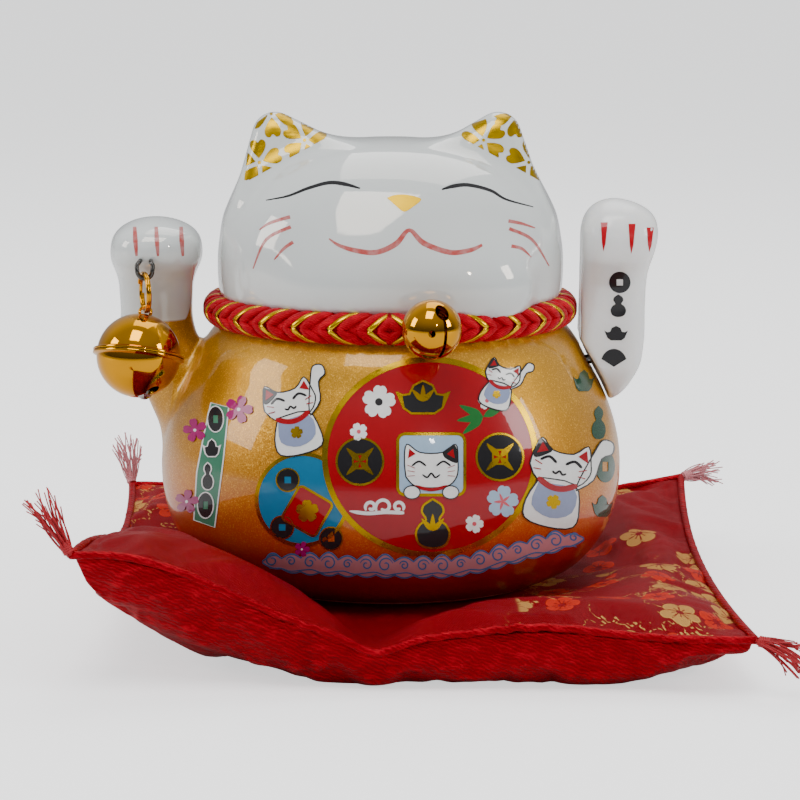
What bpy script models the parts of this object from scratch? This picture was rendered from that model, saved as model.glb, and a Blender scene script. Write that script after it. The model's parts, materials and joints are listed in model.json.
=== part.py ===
"""Beckoning cat figurine: a glazed ceramic cat with a battery driven waving arm, on a square cushion.

Metres, +Z up, the cat looks along -Y. The origin lies on the cushion's flat underside, below the cat's own axis.
"""

from math import cos, pi, radians, sin, sqrt

import bmesh
import bpy
from mathutils import Matrix, Vector

MM = 0.001
GAP = 0.3 * MM  # clearance between pieces that touch on the real object

# Ceramic body. Heights of the profile are above the foot plane.
FOOT_Z = 10.0 * MM
DEPTH_RATIO = 0.93  # the cat is a little flatter from front to back than it is wide
WALL = 4.0 * MM
BODY_PROFILE = (
    # radius, height
    (40.0, 0.0), (44.5, 1.6), (50.0, 4.2), (54.8, 8.4), (58.6, 14.0), (61.2, 21.0), (62.3, 29.0),
    (61.9, 37.0), (60.0, 45.0), (57.0, 52.5), (53.2, 59.5), (49.6, 66.0), (46.6, 69.6), (41.6, 73.0),
)
FOOT_INNER_RADIUS = 35.4 * MM
HEAD_CENTRE_Z = FOOT_Z + 87.5 * MM
HEAD_HALF = Vector((46.3, 40.0, 32.0)) * MM
EAR_TIP = Vector((29.4, -4.0, 136.8)) * MM
EAR_HEIGHT = 28.0 * MM
EAR_HALF_WIDTH = 16.0 * MM
EAR_HALF_DEPTH = 9.0 * MM

# Fixed raised arm, on the cat's right.
FIXED_ARM_X = -64.2 * MM
FIXED_ARM_RADIUS = 9.6 * MM
FIXED_PAW_TOP = FOOT_Z + 98.6 * MM

# Waving arm, on the cat's left, and its shaft.
PIVOT = Vector((54.0, 0.0, 70.0)) * MM
ARM_TOP = FOOT_Z + 103.0 * MM
ARM_BOTTOM = FOOT_Z + 48.2 * MM
ARM_WALL = 1.5 * MM
SHAFT_RADIUS = 1.25 * MM
SHAFT_START_X = 3.2 * MM
SHAFT_END_X = 63.0 * MM
SHAFT_HOLE_RADIUS = 4.0 * MM

# Collar.
COLLAR_Z = FOOT_Z + 74.6 * MM
COLLAR_RADIUS = 46.2 * MM
CORD_RADIUS = 3.9 * MM
COLLAR_RISE = 1.4 * MM  # how much higher the collar lies in front than at the sides
COLLAR_STEPS = 28
SLEEVE_LENGTH_DEG = 22.0

# Neck bell.
NECK_BELL_X = 10.1 * MM
NECK_BELL_RADIUS = 7.6 * MM
NECK_LOOP_RADIUS = 4.75 * MM
LOOP_WIRE = 0.45 * MM

# Paw charm: eyelet, split ring and bell.
EYELET_X = -65.8 * MM
EYELET_Y = -20.0 * MM
EYELET_BOTTOM_Z = 94.4 * MM
EYELET_WIRE = 0.55 * MM
RING_RADIUS = 5.1 * MM
RING_WIRE = 0.55 * MM
RING_COIL_HALF_WIDTH = 0.85 * MM
CHARM_LOOP_RADIUS = 1.8 * MM
CHARM_BELL_RADIUS = 10.8 * MM
CHARM_BAND_RADIUS = 11.9 * MM
CHARM_TILT = 18.0
BELL_WALL = 0.6 * MM
PELLET_RADIUS = 2.2 * MM

# Movement in the bottom of the body.
BASE_RADIUS = 34.6 * MM
BASE_BOTTOM_Z = FOOT_Z + 2.4 * MM
BASE_TOP_Z = FOOT_Z + 5.0 * MM
CELL_RADIUS = 7.25 * MM
CELL_LENGTH = 50.0 * MM
CELL_Z = FOOT_Z + 10.4 * MM
BAY_HALF = Vector((28.2, 9.4)) * MM
BAY_TOP_Z = FOOT_Z + 20.0 * MM
BAY_WALL = 1.4 * MM
POST_INNER_X = 6.6 * MM
POST_OUTER_X = 30.2 * MM
POST_THICK = 3.2 * MM
POST_HALF_WIDTH = 6.0 * MM
BEARING_RADIUS = 2.6 * MM
LEVER_X = 17.0 * MM
LEVER_LENGTH = 28.0 * MM
WEIGHT_RADIUS = 7.5 * MM
WEIGHT_LENGTH = 8.0 * MM
MAGNET_RADIUS = 5.0 * MM
MAGNET_THICK = 3.0 * MM
BOARD_THICK = 1.4 * MM
BOARD_SCREWS = ((-22.0 * MM, 6.0 * MM), (25.4 * MM, 6.0 * MM))
COIL_RADIUS = 7.5 * MM
COVER_HALF = Vector((28.6, 9.6)) * MM
COVER_THICK = 1.3 * MM
SWITCH_Y = 22.0 * MM

# Cushion.
CUSHION_CENTRE = Vector((4.0, -8.0)) * MM
CUSHION_HALF = 83.0 * MM
SIDE_PULL_IN = 4.0 * MM
SEAM_Z = 13.5 * MM
SEAM_DEPTH = 3.2 * MM  # the seam lies this far under the top panel's edge
CLOTH = 0.8 * MM
CORNER_LIFT = {(-1, -1): 21.0 * MM, (1, -1): 1.0 * MM, (1, 1): 8.0 * MM, (-1, 1): 6.0 * MM}
CUSHION_GRID = 12
TASSEL_LENGTH = 14.0 * MM
TASSEL_RADIUS = 4.2 * MM

PARTS = None
CUTTERS = None


# ---------------------------------------------------------------- scene and materials


def clear_scene():
    for obj in list(bpy.data.objects):
        bpy.data.objects.remove(obj, do_unlink=True)


def new_collection(name, hidden=False):
    collection = bpy.data.collections.new(name)
    bpy.context.scene.collection.children.link(collection)
    collection.hide_render = hidden
    return collection


def material(name, colour, roughness, metallic=0.0):
    made = bpy.data.materials.new(name)
    made.use_nodes = True
    shader = made.node_tree.nodes["Principled BSDF"]
    shader.inputs["Base Color"].default_value = (*colour, 1.0)
    shader.inputs["Roughness"].default_value = roughness
    shader.inputs["Metallic"].default_value = metallic
    return made


def place(name, mesh, surface=None, location=(0, 0, 0), parent=None):
    """Links a mesh as a part with its material or, without one, as a cutter."""
    obj = bpy.data.objects.new(name, mesh)
    obj.location = location
    if parent:
        obj.parent = parent
    if surface:
        PARTS.objects.link(obj)
        mesh.materials.append(surface)
        mesh.shade_smooth()
        mesh.set_sharp_from_angle(angle=radians(35))
    else:
        CUTTERS.objects.link(obj)
        obj.hide_render = True
        obj.display_type = "WIRE"
    return obj


def pivot_empty(name, location):
    """An empty on a joint's axis, which the moving pieces are parented to."""
    empty = bpy.data.objects.new(name, None)
    empty.empty_display_size = 10 * MM
    empty.location = location
    PARTS.objects.link(empty)
    return empty


def cut(obj, cutter, operation="DIFFERENCE"):
    modifier = obj.modifiers.new(f"{operation.lower()} {cutter.name}", "BOOLEAN")
    modifier.operation = operation
    modifier.solver = "EXACT"
    modifier.object = cutter
    return modifier


# ---------------------------------------------------------------- shapes


def mesh_of(name, shape):
    """A mesh from a bmesh, its faces turned outwards."""
    bmesh.ops.recalc_face_normals(shape, faces=shape.faces)
    mesh = bpy.data.meshes.new(name)
    shape.to_mesh(mesh)
    shape.free()
    return mesh


def box(name, low, high, surface=None, parent=None):
    """A box between two world corners."""
    low, high = Vector(low), Vector(high)
    shape = bmesh.new()
    bmesh.ops.create_cube(shape, size=1.0)
    bmesh.ops.scale(shape, vec=high - low, verts=shape.verts)
    centre = (low + high) / 2
    origin = parent.location if parent else Vector((0, 0, 0))
    return place(name, mesh_of(name, shape), surface, centre - origin, parent)


def cylinder(name, start, end, radius, surface=None, parent=None, segments=24, end_radius=None):
    """A cylinder or cone frustum between two world points."""
    start, end = Vector(start), Vector(end)
    along = end - start
    shape = bmesh.new()
    far = radius if end_radius is None else end_radius
    bmesh.ops.create_cone(
        shape, cap_ends=True, segments=segments, radius1=radius, radius2=far, depth=along.length
    )
    turn = along.to_track_quat("Z", "Y").to_matrix().to_4x4()
    bmesh.ops.transform(shape, matrix=turn, verts=shape.verts)
    origin = parent.location if parent else Vector((0, 0, 0))
    return place(name, mesh_of(name, shape), surface, (start + end) / 2 - origin, parent)


def turned(name, profile, surface=None, steps=24, location=(0, 0, 0), parent=None, closed=False):
    """A profile of (radius, height) points, top to bottom, turned about Z by a Screw modifier."""
    mesh = bpy.data.meshes.new(name)
    points = [(radius, 0.0, height) for radius, height in profile]
    edges = [(i, i + 1) for i in range(len(points) - 1)]
    if closed:
        edges.append((len(points) - 1, 0))
    mesh.from_pydata(points, edges, [])
    obj = place(name, mesh, surface, location, parent)
    screw = obj.modifiers.new("turn", "SCREW")
    screw.steps = steps
    screw.render_steps = steps
    screw.use_merge_vertices = True
    screw.merge_threshold = 0.00001
    screw.use_smooth_shade = True
    return obj


def moulded(name, place_point, surface=None, around=24, rows=12, parent=None):
    """A UV sphere whose points, given as unit vectors, are moved by place_point into a rounded form."""
    shape = bmesh.new()
    bmesh.ops.create_uvsphere(shape, u_segments=around, v_segments=rows, radius=1.0)
    origin = parent.location if parent else Vector((0, 0, 0))
    for vertex in shape.verts:
        vertex.co = place_point(vertex.co.normalized()) - origin
    return place(name, mesh_of(name, shape), surface, (0, 0, 0), parent)


def tube(name, points, radius, surface, cyclic=False, parent=None, flatten=None):
    """A wire along world points, made a mesh. flatten scales it about its own centre, per axis."""
    curve = bpy.data.curves.new(name, "CURVE")
    curve.dimensions = "3D"
    curve.bevel_depth = radius
    curve.bevel_resolution = 2
    curve.use_fill_caps = True
    spline = curve.splines.new("POLY")
    spline.points.add(len(points) - 1)
    for point, where in zip(spline.points, points):
        point.co = (*where, 1.0)
    spline.use_cyclic_u = cyclic
    wire = bpy.data.objects.new(f"{name} wire", curve)
    CUTTERS.objects.link(wire)
    bpy.context.view_layer.update()
    mesh = bpy.data.meshes.new_from_object(wire.evaluated_get(bpy.context.evaluated_depsgraph_get()))
    bpy.data.objects.remove(wire, do_unlink=True)
    shape = bmesh.new()
    shape.from_mesh(mesh)
    bmesh.ops.remove_doubles(shape, verts=shape.verts, dist=0.000001)
    if flatten:
        centre = sum((Vector(p) for p in points), Vector()) / len(points)
        for vertex in shape.verts:
            offset = vertex.co - centre
            vertex.co = centre + Vector(a * b for a, b in zip(offset, flatten))
    origin = parent.location if parent else Vector((0, 0, 0))
    bmesh.ops.translate(shape, vec=-origin, verts=shape.verts)
    bpy.data.meshes.remove(mesh)
    return place(name, mesh_of(name, shape), surface, (0, 0, 0), parent)


def ring_points(centre, radius, normal, count=24, start=0.0, sweep=2 * pi):
    """Points of a circle or an arc about a normal through its centre."""
    turn = Vector(normal).to_track_quat("Z", "Y").to_matrix()
    full = abs(sweep - 2 * pi) < 1e-6
    steps = count if full else count - 1
    angles = [start + sweep * i / steps for i in range(count)]
    return [Vector(centre) + turn @ Vector((radius * cos(a), radius * sin(a), 0)) for a in angles]


def interpolated(table, at):
    """Linear interpolation in a table of (key, values...) rows with rising keys."""
    for low, high in zip(table, table[1:]):
        if at <= high[0]:
            part = max(0.0, (at - low[0]) / (high[0] - low[0]))
            return [a + (b - a) * part for a, b in zip(low[1:], high[1:])]
    return list(table[-1][1:])


# ---------------------------------------------------------------- ceramic body


def body_radius(z):
    """Outer radius of the body at a world height."""
    table = [(height, radius) for radius, height in BODY_PROFILE]
    return interpolated(table, (z - FOOT_Z) / MM)[0] * MM


def superellipsoid(centre, half, power):
    def place_point(unit):
        size = sum(abs(part) ** power for part in unit) ** (1 / power)
        return centre + Vector(a * b / size for a, b in zip(unit, half))

    return place_point


def ear_point(side):
    """A rounded peak, wide at its base and leaning a little to the front."""

    def place_point(unit):
        level = (unit.z + 1) / 2
        width = EAR_HALF_WIDTH * (1 - level**3) ** 0.5 if level < 1 else 0.0
        depth = EAR_HALF_DEPTH * (1 - level**1.6) ** 0.7 if level < 1 else 0.0
        flat = sqrt(unit.x**2 + unit.y**2)
        across, along = (unit.x / flat, unit.y / flat) if flat > 1e-6 else (0.0, 0.0)
        bottom = min(1.0, level * 12)
        return Vector((
            side * (EAR_TIP.x - 2.5 * MM * (1 - level)) + across * width * bottom,
            EAR_TIP.y + 3 * MM * (1 - level) + along * depth * bottom,
            EAR_TIP.z - EAR_HEIGHT * (1 - level),
        ))

    return place_point


def limb_point(sections):
    """Rounded limb from sections of (height, centre x, centre y, half width, half depth) in millimetres."""
    low, high = sections[0][0], sections[-1][0]

    def place_point(unit):
        height = low + (high - low) * (1 + unit.z) / 2
        x, y, wide, deep = interpolated(sections, height)
        flat = sqrt(unit.x**2 + unit.y**2)
        across, along = (unit.x / flat, unit.y / flat) if flat > 1e-6 else (0.0, 0.0)
        return Vector((x + across * wide, y + along * deep, height)) * MM

    return place_point


def fixed_arm_sections():
    x = FIXED_ARM_X / MM
    radius = FIXED_ARM_RADIUS / MM
    top = FIXED_PAW_TOP / MM
    return (
        (46.0, x + 16, 1.0, 0.0, 0.0),
        (50.0, x + 14, 1.0, 6.0, 7.0),
        (60.0, x + 8, 1.5, 10.5, 10.5),
        (68.0, x + 3, 2.0, radius + 1.2, radius + 0.5),
        (76.0, x + 0.4, 2.0, radius, radius),
        (90.0, x, 1.0, radius, radius),
        (94.0, x, -1.0, radius + 0.6, radius + 0.6),
        (97.0, x + 0.2, -4.0, radius + 2.4, radius + 3.0),
        (100.0, x + 0.3, -5.0, radius + 2.9, radius + 3.6),
        (104.0, x + 0.3, -5.0, radius + 2.2, radius + 2.8),
        (107.0, x + 0.3, -4.5, radius - 1.8, radius - 1.4),
        (top, x + 0.3, -4.0, 0.0, 0.0),
    )


def make_ceramic_body(glaze):
    neck_top = FOOT_Z + 80 * MM
    outline = [(0.0, neck_top), (41.6 * MM, neck_top)]
    outline += [(r * MM, FOOT_Z + h * MM) for r, h in reversed(BODY_PROFILE)]
    outline.append((0.0, FOOT_Z))
    body = turned("ceramic_body", outline, glaze, steps=36)
    body.scale = (1.0, DEPTH_RATIO, 1.0)

    head_centre = Vector((0, 0, HEAD_CENTRE_Z))
    cut(body, moulded("head form", superellipsoid(head_centre, HEAD_HALF, 2.3), around=32, rows=12), "UNION")
    for side, name in ((-1, "right"), (1, "left")):
        cut(body, moulded(f"{name} ear form", ear_point(side), around=12, rows=8), "UNION")
    cut(body, moulded("fixed arm form", limb_point(fixed_arm_sections()), around=16, rows=14), "UNION")

    groove = tube("collar groove form", collar_line(), CORD_RADIUS + GAP + 0.1 * MM, None, cyclic=True)
    cut(body, groove)
    notch_at = neck_bell_joint()
    half = Vector((LOOP_WIRE + 2 * GAP, 0, 0))
    notch_radius = NECK_LOOP_RADIUS + LOOP_WIRE + 2 * GAP
    cut(body, cylinder("bell loop notch form", notch_at - half, notch_at + half, notch_radius, segments=20))
    neck = COLLAR_RADIUS - CORD_RADIUS - 1.2 * WALL
    inner = [(0.0, HEAD_CENTRE_Z + HEAD_HALF.z - WALL), (24 * MM, HEAD_CENTRE_Z + 22 * MM)]
    inner += [(35 * MM, HEAD_CENTRE_Z + 8 * MM), (neck, HEAD_CENTRE_Z - 8 * MM), (neck, COLLAR_Z - 8 * MM)]
    inner += [(r * MM - WALL, FOOT_Z + h * MM) for r, h in reversed(BODY_PROFILE) if 8 < h < 60]
    inner.append((FOOT_INNER_RADIUS, FOOT_Z + 7 * MM))
    inner.append((FOOT_INNER_RADIUS, FOOT_Z - 2 * MM))
    inner.append((0.0, FOOT_Z - 2 * MM))
    hollow = turned("hollow form", inner, steps=20)
    hollow.scale = (1.0, DEPTH_RATIO, 1.0)
    cut(body, hollow)
    opening = cylinder(
        "bottom opening form", (0, 0, FOOT_Z - 3 * MM), (0, 0, FOOT_Z + 8 * MM), FOOT_INNER_RADIUS, segments=40
    )
    cut(body, opening)
    hole_start = PIVOT - Vector((14 * MM, 0, 0))
    hole_end = PIVOT + Vector((10 * MM, 0, 0))
    cut(body, cylinder("shaft hole form", hole_start, hole_end, SHAFT_HOLE_RADIUS))
    socket_low = Vector((EYELET_X, -8 * MM, EYELET_BOTTOM_Z + 3.6 * MM))
    socket_high = socket_low + Vector((0, -14 * MM, 0))
    cut(body, cylinder("eyelet socket form", socket_low, socket_high, 2.6 * MM, segments=16))
    return body


# ---------------------------------------------------------------- collar and neck bell


def collar_point(angle, radius=COLLAR_RADIUS):
    """A point of the collar's centre line. Angle 0 is +X, and -90 degrees is the front."""
    return Vector((
        radius * cos(angle),
        radius * DEPTH_RATIO * sin(angle),
        COLLAR_Z - COLLAR_RISE * sin(angle),
    ))


def collar_line(count=COLLAR_STEPS):
    """Points of the whole collar's centre line, once round."""
    return [collar_point(2 * pi * i / count) for i in range(count)]


def make_collar(cord, crimp):
    half_sleeve = radians(SLEEVE_LENGTH_DEG) / 2
    start = pi / 2 + half_sleeve + radians(1.0)
    sweep = 2 * pi - 2 * half_sleeve - radians(2.0)
    points = [collar_point(start + sweep * i / COLLAR_STEPS) for i in range(COLLAR_STEPS + 1)]
    tube("collar_cord", points, CORD_RADIUS, cord)
    points = [collar_point(pi / 2 - half_sleeve + 2 * half_sleeve * i / 6) for i in range(7)]
    tube("collar_sleeve", points, CORD_RADIUS + 0.2 * MM, crimp)


def bell_profile(radius, wall, band=0.0, band_half=0.0, upper=True, rows=5):
    """Closed profile of one half shell of a bell about its own centre, top to bottom on the outside."""
    sign = 1 if upper else -1
    angles = [radians(90 - 82 * i / rows) for i in range(rows + 1)]
    outer = [(radius * cos(a), sign * radius * sin(a)) for a in angles]
    inner = [((radius - wall) * cos(a), sign * (radius - wall) * sin(a)) for a in angles]
    lip = sign * GAP / 2
    rim_top = sign * (GAP / 2 + band_half)
    rim = [(band, rim_top), (band, lip), (radius - wall, lip)] if band else []
    loop = outer + rim + inner[::-1]
    loop[0] = (0.0, loop[0][1])
    loop[-1] = (0.0, loop[-1][1])
    return loop if upper else loop[::-1]


def neck_bell_joint():
    """The point of the collar's centre line that the neck bell's loop goes round."""
    front = collar_point(-pi / 2)
    return Vector((NECK_BELL_X, front.y * sqrt(1 - (NECK_BELL_X / COLLAR_RADIUS) ** 2), front.z))


def make_neck_bell(gold, steel):
    joint = neck_bell_joint()
    hub = pivot_empty("neck_bell_joint", joint)
    reach = NECK_LOOP_RADIUS + LOOP_WIRE + GAP + NECK_BELL_RADIUS
    centre = Vector((0, -reach, 0))
    shell = turned(
        "neck_bell_shell",
        ball_shell_profile(NECK_BELL_RADIUS, BELL_WALL, NECK_BELL_RADIUS * 0.12),
        gold,
        steps=20,
        location=centre,
        parent=hub,
    )
    shell.rotation_euler = (radians(-90), 0, 0)
    slot_low = joint + centre + Vector((-0.6 * MM, -9 * MM, -9 * MM))
    slot_high = joint + centre + Vector((0.6 * MM, -3 * MM, 5 * MM))
    cut(shell, box("neck bell slot form", slot_low, slot_high))
    hole_at = joint + centre + Vector((0, 0, 5 * MM))
    hole = cylinder(
        "neck bell hole form",
        hole_at + Vector((0, -9 * MM, 0)),
        hole_at + Vector((0, -2 * MM, 0)),
        1.5 * MM,
        segments=16,
    )
    cut(shell, hole)
    tube(
        "neck_bell_loop",
        ring_points(joint, NECK_LOOP_RADIUS, (1, 0, 0), 20),
        LOOP_WIRE,
        steel,
        cyclic=True,
        parent=hub,
    )
    pellet_at = joint + centre + Vector((0, 0, BELL_WALL + GAP + PELLET_RADIUS - NECK_BELL_RADIUS))
    ball("neck_bell_pellet", pellet_at, PELLET_RADIUS, steel)


def ball_shell_profile(radius, wall, opening):
    """Closed profile of a hollow ball with a small round opening at its lower pole."""
    rows = 9
    lowest = -pi / 2 + opening / radius * 1.2
    angles = [pi / 2 + (lowest - pi / 2) * i / rows for i in range(rows + 1)]
    outer = [(radius * cos(a), radius * sin(a)) for a in angles]
    inner = [((radius - wall) * cos(a), (radius - wall) * sin(a)) for a in angles]
    outer[0] = (0.0, radius)
    inner[0] = (0.0, radius - wall)
    return outer + inner[::-1]


def ball(name, centre, radius, surface, parent=None):
    return moulded(name, lambda unit: Vector(centre) + unit * radius, surface, 12, 8, parent=parent)


# ---------------------------------------------------------------- paw charm


def make_paw_charm(gold, steel):
    eyelet_centre_z = EYELET_BOTTOM_Z + EYELET_WIRE + 1.4 * MM
    rise = eyelet_centre_z + 2.6 * MM
    points = [Vector((EYELET_X - 1.4 * MM, EYELET_Y + 8 * MM, rise))]
    points.append(Vector((EYELET_X - 1.4 * MM, EYELET_Y + 2.0 * MM, rise)))
    points.append(Vector((EYELET_X - 1.5 * MM, EYELET_Y + 0.4 * MM, rise - 0.8 * MM)))
    arc = [pi + pi * i / 8 for i in range(9)]
    points += [
        Vector((EYELET_X + 1.5 * MM * cos(a), EYELET_Y, eyelet_centre_z + 1.4 * MM * sin(a))) for a in arc
    ]
    points.append(Vector((EYELET_X + 1.5 * MM, EYELET_Y + 0.4 * MM, rise - 0.8 * MM)))
    points.append(Vector((EYELET_X + 1.4 * MM, EYELET_Y + 2.0 * MM, rise)))
    points.append(Vector((EYELET_X + 1.4 * MM, EYELET_Y + 8 * MM, rise)))
    tube("paw_eyelet", points, EYELET_WIRE, steel)

    wire_centre = Vector((EYELET_X, EYELET_Y, EYELET_BOTTOM_Z + EYELET_WIRE))
    ring_hub = pivot_empty("split_ring_joint", wire_centre)
    ring_top = wire_centre.z + EYELET_WIRE + GAP + RING_WIRE
    ring_centre = Vector((EYELET_X, EYELET_Y, ring_top - RING_RADIUS))
    # The ring hangs with its top wire above the eyelet's bottom wire.
    tube(
        "split_ring",
        ring_points(ring_centre, RING_RADIUS, (1, 0, 0), 24),
        RING_WIRE,
        gold,
        cyclic=True,
        parent=ring_hub,
        flatten=(RING_COIL_HALF_WIDTH / RING_WIRE, 1, 1),
    )

    bottom_wire = Vector((EYELET_X, EYELET_Y, ring_centre.z - RING_RADIUS))
    hub = pivot_empty("paw_bell_joint", bottom_wire)
    hub.rotation_euler = (radians(-CHARM_TILT), 0, 0)
    loop_centre_z = RING_WIRE + GAP + LOOP_WIRE - CHARM_LOOP_RADIUS
    loop = tube(
        "paw_bell_loop",
        ring_points(Vector((0, 0, loop_centre_z)), CHARM_LOOP_RADIUS, (0, 1, 0), 16),
        LOOP_WIRE,
        gold,
        cyclic=True,
    )
    loop.parent = hub
    centre_z = loop_centre_z - CHARM_LOOP_RADIUS - LOOP_WIRE - GAP - CHARM_BELL_RADIUS
    bell_centre = Vector((0, 0, centre_z))
    for name, upper in (("paw_bell_upper_shell", True), ("paw_bell_lower_shell", False)):
        shell = turned(
            name,
            bell_profile(CHARM_BELL_RADIUS, BELL_WALL, CHARM_BAND_RADIUS, 0.55 * MM, upper),
            gold,
            steps=24,
            location=bell_centre,
            parent=hub,
        )
        if not upper:
            cut_bell_slot(shell, hub, bell_centre)
    pellet = ball("paw_bell_pellet", (0, 0, 0), PELLET_RADIUS, steel)
    pellet.parent = hub
    pellet.location = bell_centre - Vector((0, 0, CHARM_BELL_RADIUS - BELL_WALL - GAP - PELLET_RADIUS))


def cut_bell_slot(shell, hub, bell_centre):
    """The slot across the bell's lower pole, with a round hole at each end."""
    reach = 5.6 * MM
    turn = Matrix.Rotation(radians(-32), 4, "Z")
    slot = box("paw bell slot form", (-reach, -0.7 * MM, -14 * MM), (reach, 0.7 * MM, -5 * MM))
    holes = [
        cylinder(
            f"paw bell hole form {i}",
            (side * reach, 0, -14 * MM),
            (side * reach, 0, -4 * MM),
            1.5 * MM,
            segments=14,
        )
        for i, side in enumerate((-1, 1))
    ]
    for cutter in [slot] + holes:
        cutter.data.transform(turn @ Matrix.Translation(cutter.location))
        cutter.parent = hub
        cutter.location = bell_centre
        cut(shell, cutter)


# ---------------------------------------------------------------- movement


def make_movement_base(plastic):
    base = cylinder(
        "movement_base", (0, 0, BASE_BOTTOM_Z), (0, 0, BASE_TOP_Z), BASE_RADIUS, plastic, segments=40
    )
    bay_low = (-BAY_HALF.x, -BAY_HALF.y, BASE_BOTTOM_Z + 1 * MM)
    bay_high = (BAY_HALF.x, BAY_HALF.y, BAY_TOP_Z)
    cut(base, box("bay form", bay_low, bay_high), "UNION")
    for name, x in (("inner", POST_INNER_X), ("outer", POST_OUTER_X)):
        low = (x - POST_THICK / 2, -POST_HALF_WIDTH, BASE_BOTTOM_Z + 1.2 * MM)
        high = (x + POST_THICK / 2, POST_HALF_WIDTH, PIVOT.z + 6 * MM)
        cut(base, box(f"{name} post form", low, high), "UNION")
    inside = Vector((BAY_WALL, BAY_WALL, 0))
    low = Vector((-BAY_HALF.x, -BAY_HALF.y, BASE_BOTTOM_Z - 1 * MM)) + inside
    high = Vector((BAY_HALF.x, BAY_HALF.y, BAY_TOP_Z - BAY_WALL)) - inside
    cut(base, box("bay hollow form", low, high))
    for name, x in (("inner", POST_INNER_X), ("outer", POST_OUTER_X)):
        start = (x - 4 * MM, 0, PIVOT.z)
        end = (x + 4 * MM, 0, PIVOT.z)
        cut(base, cylinder(f"{name} bearing seat form", start, end, BEARING_RADIUS + GAP))
    low = (-3.2 * MM, SWITCH_Y - 1.6 * MM, BASE_BOTTOM_Z - 1 * MM)
    high = (5.2 * MM, SWITCH_Y + 1.6 * MM, BASE_TOP_Z + 1 * MM)
    cut(base, box("switch slot form", low, high))
    for i, (x, y) in enumerate(BOARD_SCREWS):
        start = (x, y, BAY_TOP_Z + 1 * MM)
        end = (x, y, BAY_TOP_Z - 3 * MM)
        cut(base, cylinder(f"screw hole form {i}", start, end, 1.1 * MM, segments=16))
    return base


def make_battery(metal, wrap, spring_steel):
    half = CELL_LENGTH / 2
    nub = 1.2 * MM
    profile = [(0.0, half + nub), (2.6 * MM, half + nub), (2.6 * MM, half), (CELL_RADIUS - 0.6 * MM, half)]
    profile += [(CELL_RADIUS, half - 0.8 * MM), (CELL_RADIUS, -half + 0.5 * MM), (CELL_RADIUS - 0.5 * MM, -half)]
    profile.append((0.0, -half))
    cell = turned("battery_cell", profile, wrap, steps=24, location=(-0.6 * MM, 0, CELL_Z))
    cell.rotation_euler = (0, radians(90), 0)
    inner_x = BAY_HALF.x - BAY_WALL
    low = (inner_x - GAP - 0.5 * MM, -5.5 * MM, CELL_Z - 6 * MM)
    high = (inner_x - GAP, 5.5 * MM, CELL_Z + 6.6 * MM)
    box("battery_contact_plate", low, high, metal)
    turns, per_turn = 2, 12
    start_x = -inner_x + GAP + 0.5 * MM
    end_x = -half - 0.6 * MM - GAP - 0.5 * MM
    count = turns * per_turn
    points = []
    for i in range(count + 1):
        part = i / count
        angle = 2 * pi * turns * part
        radius = 5.2 * MM - 2.4 * MM * part
        points.append(
            Vector((start_x + (end_x - start_x) * part, radius * cos(angle), CELL_Z + radius * sin(angle)))
        )
    tube("battery_contact_spring", points, 0.35 * MM, spring_steel)


def make_electronics(board, copper, plastic, steel):
    low_z = BAY_TOP_Z + GAP
    low = (-24.0 * MM, -8.4 * MM, low_z)
    high = (27.6 * MM, 8.4 * MM, low_z + BOARD_THICK)
    pcb = box("circuit_board", low, high, board)
    clear = 0.6 * MM
    low = (POST_INNER_X - POST_THICK / 2 - clear, -POST_HALF_WIDTH - clear, low_z - 1 * MM)
    high = (POST_INNER_X + POST_THICK / 2 + clear, POST_HALF_WIDTH + clear, low_z + 3 * MM)
    cut(pcb, box("board window form", low, high))
    for i, (x, y) in enumerate(BOARD_SCREWS):
        start = (x, y, low_z - 1 * MM)
        end = (x, y, low_z + 3 * MM)
        cut(pcb, cylinder(f"board hole form {i}", start, end, 1.4 * MM, segments=16))
        head = 0.9 * MM
        profile = [(0.0, head), (1.5 * MM, head), (1.9 * MM, 0.3 * MM), (1.9 * MM, 0.0)]
        profile += [(0.8 * MM, 0.0), (0.8 * MM, -3.6 * MM), (0.0, -4.2 * MM)]
        where = (x, y, low_z + BOARD_THICK + GAP)
        turned(f"board_screw_{i + 1}", profile, steel, steps=16, location=where)
    bobbin_z = low_z + BOARD_THICK + GAP
    flange, core, height = COIL_RADIUS + 0.5 * MM, 3.0 * MM, 5.2 * MM
    bore = 1.5 * MM
    profile = [(bore, height), (flange, height), (flange, height - 0.7 * MM), (core, height - 0.7 * MM)]
    profile += [(core, 0.7 * MM), (flange, 0.7 * MM), (flange, 0.0), (bore, 0.0)]
    where = (LEVER_X, 0, bobbin_z)
    turned("coil_bobbin", profile, plastic, steps=24, location=where, closed=True)
    low_h, high_h = 0.7 * MM + GAP, height - 0.7 * MM - GAP
    profile = [(core + GAP, high_h), (COIL_RADIUS, high_h), (COIL_RADIUS, low_h), (core + GAP, low_h)]
    turned("drive_coil", profile, copper, steps=24, location=where, closed=True)
    low = (-4.4 * MM, SWITCH_Y - 2.6 * MM, BASE_TOP_Z + GAP)
    high = (6.4 * MM, SWITCH_Y + 2.6 * MM, BASE_TOP_Z + 5 * MM)
    housing = box("switch_housing", low, high, steel)
    low = (-3.4 * MM, SWITCH_Y - 1.5 * MM, BASE_TOP_Z - 1 * MM)
    high = (5.4 * MM, SWITCH_Y + 1.5 * MM, BASE_TOP_Z + 3 * MM)
    cut(housing, box("switch hollow form", low, high))


def make_switch_knob(plastic):
    low = (-2.4 * MM, SWITCH_Y - 1.1 * MM, BASE_BOTTOM_Z - 1.2 * MM)
    high = (1.6 * MM, SWITCH_Y + 1.1 * MM, BASE_TOP_Z + 2.2 * MM)
    box("switch_knob", low, high, plastic)


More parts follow.
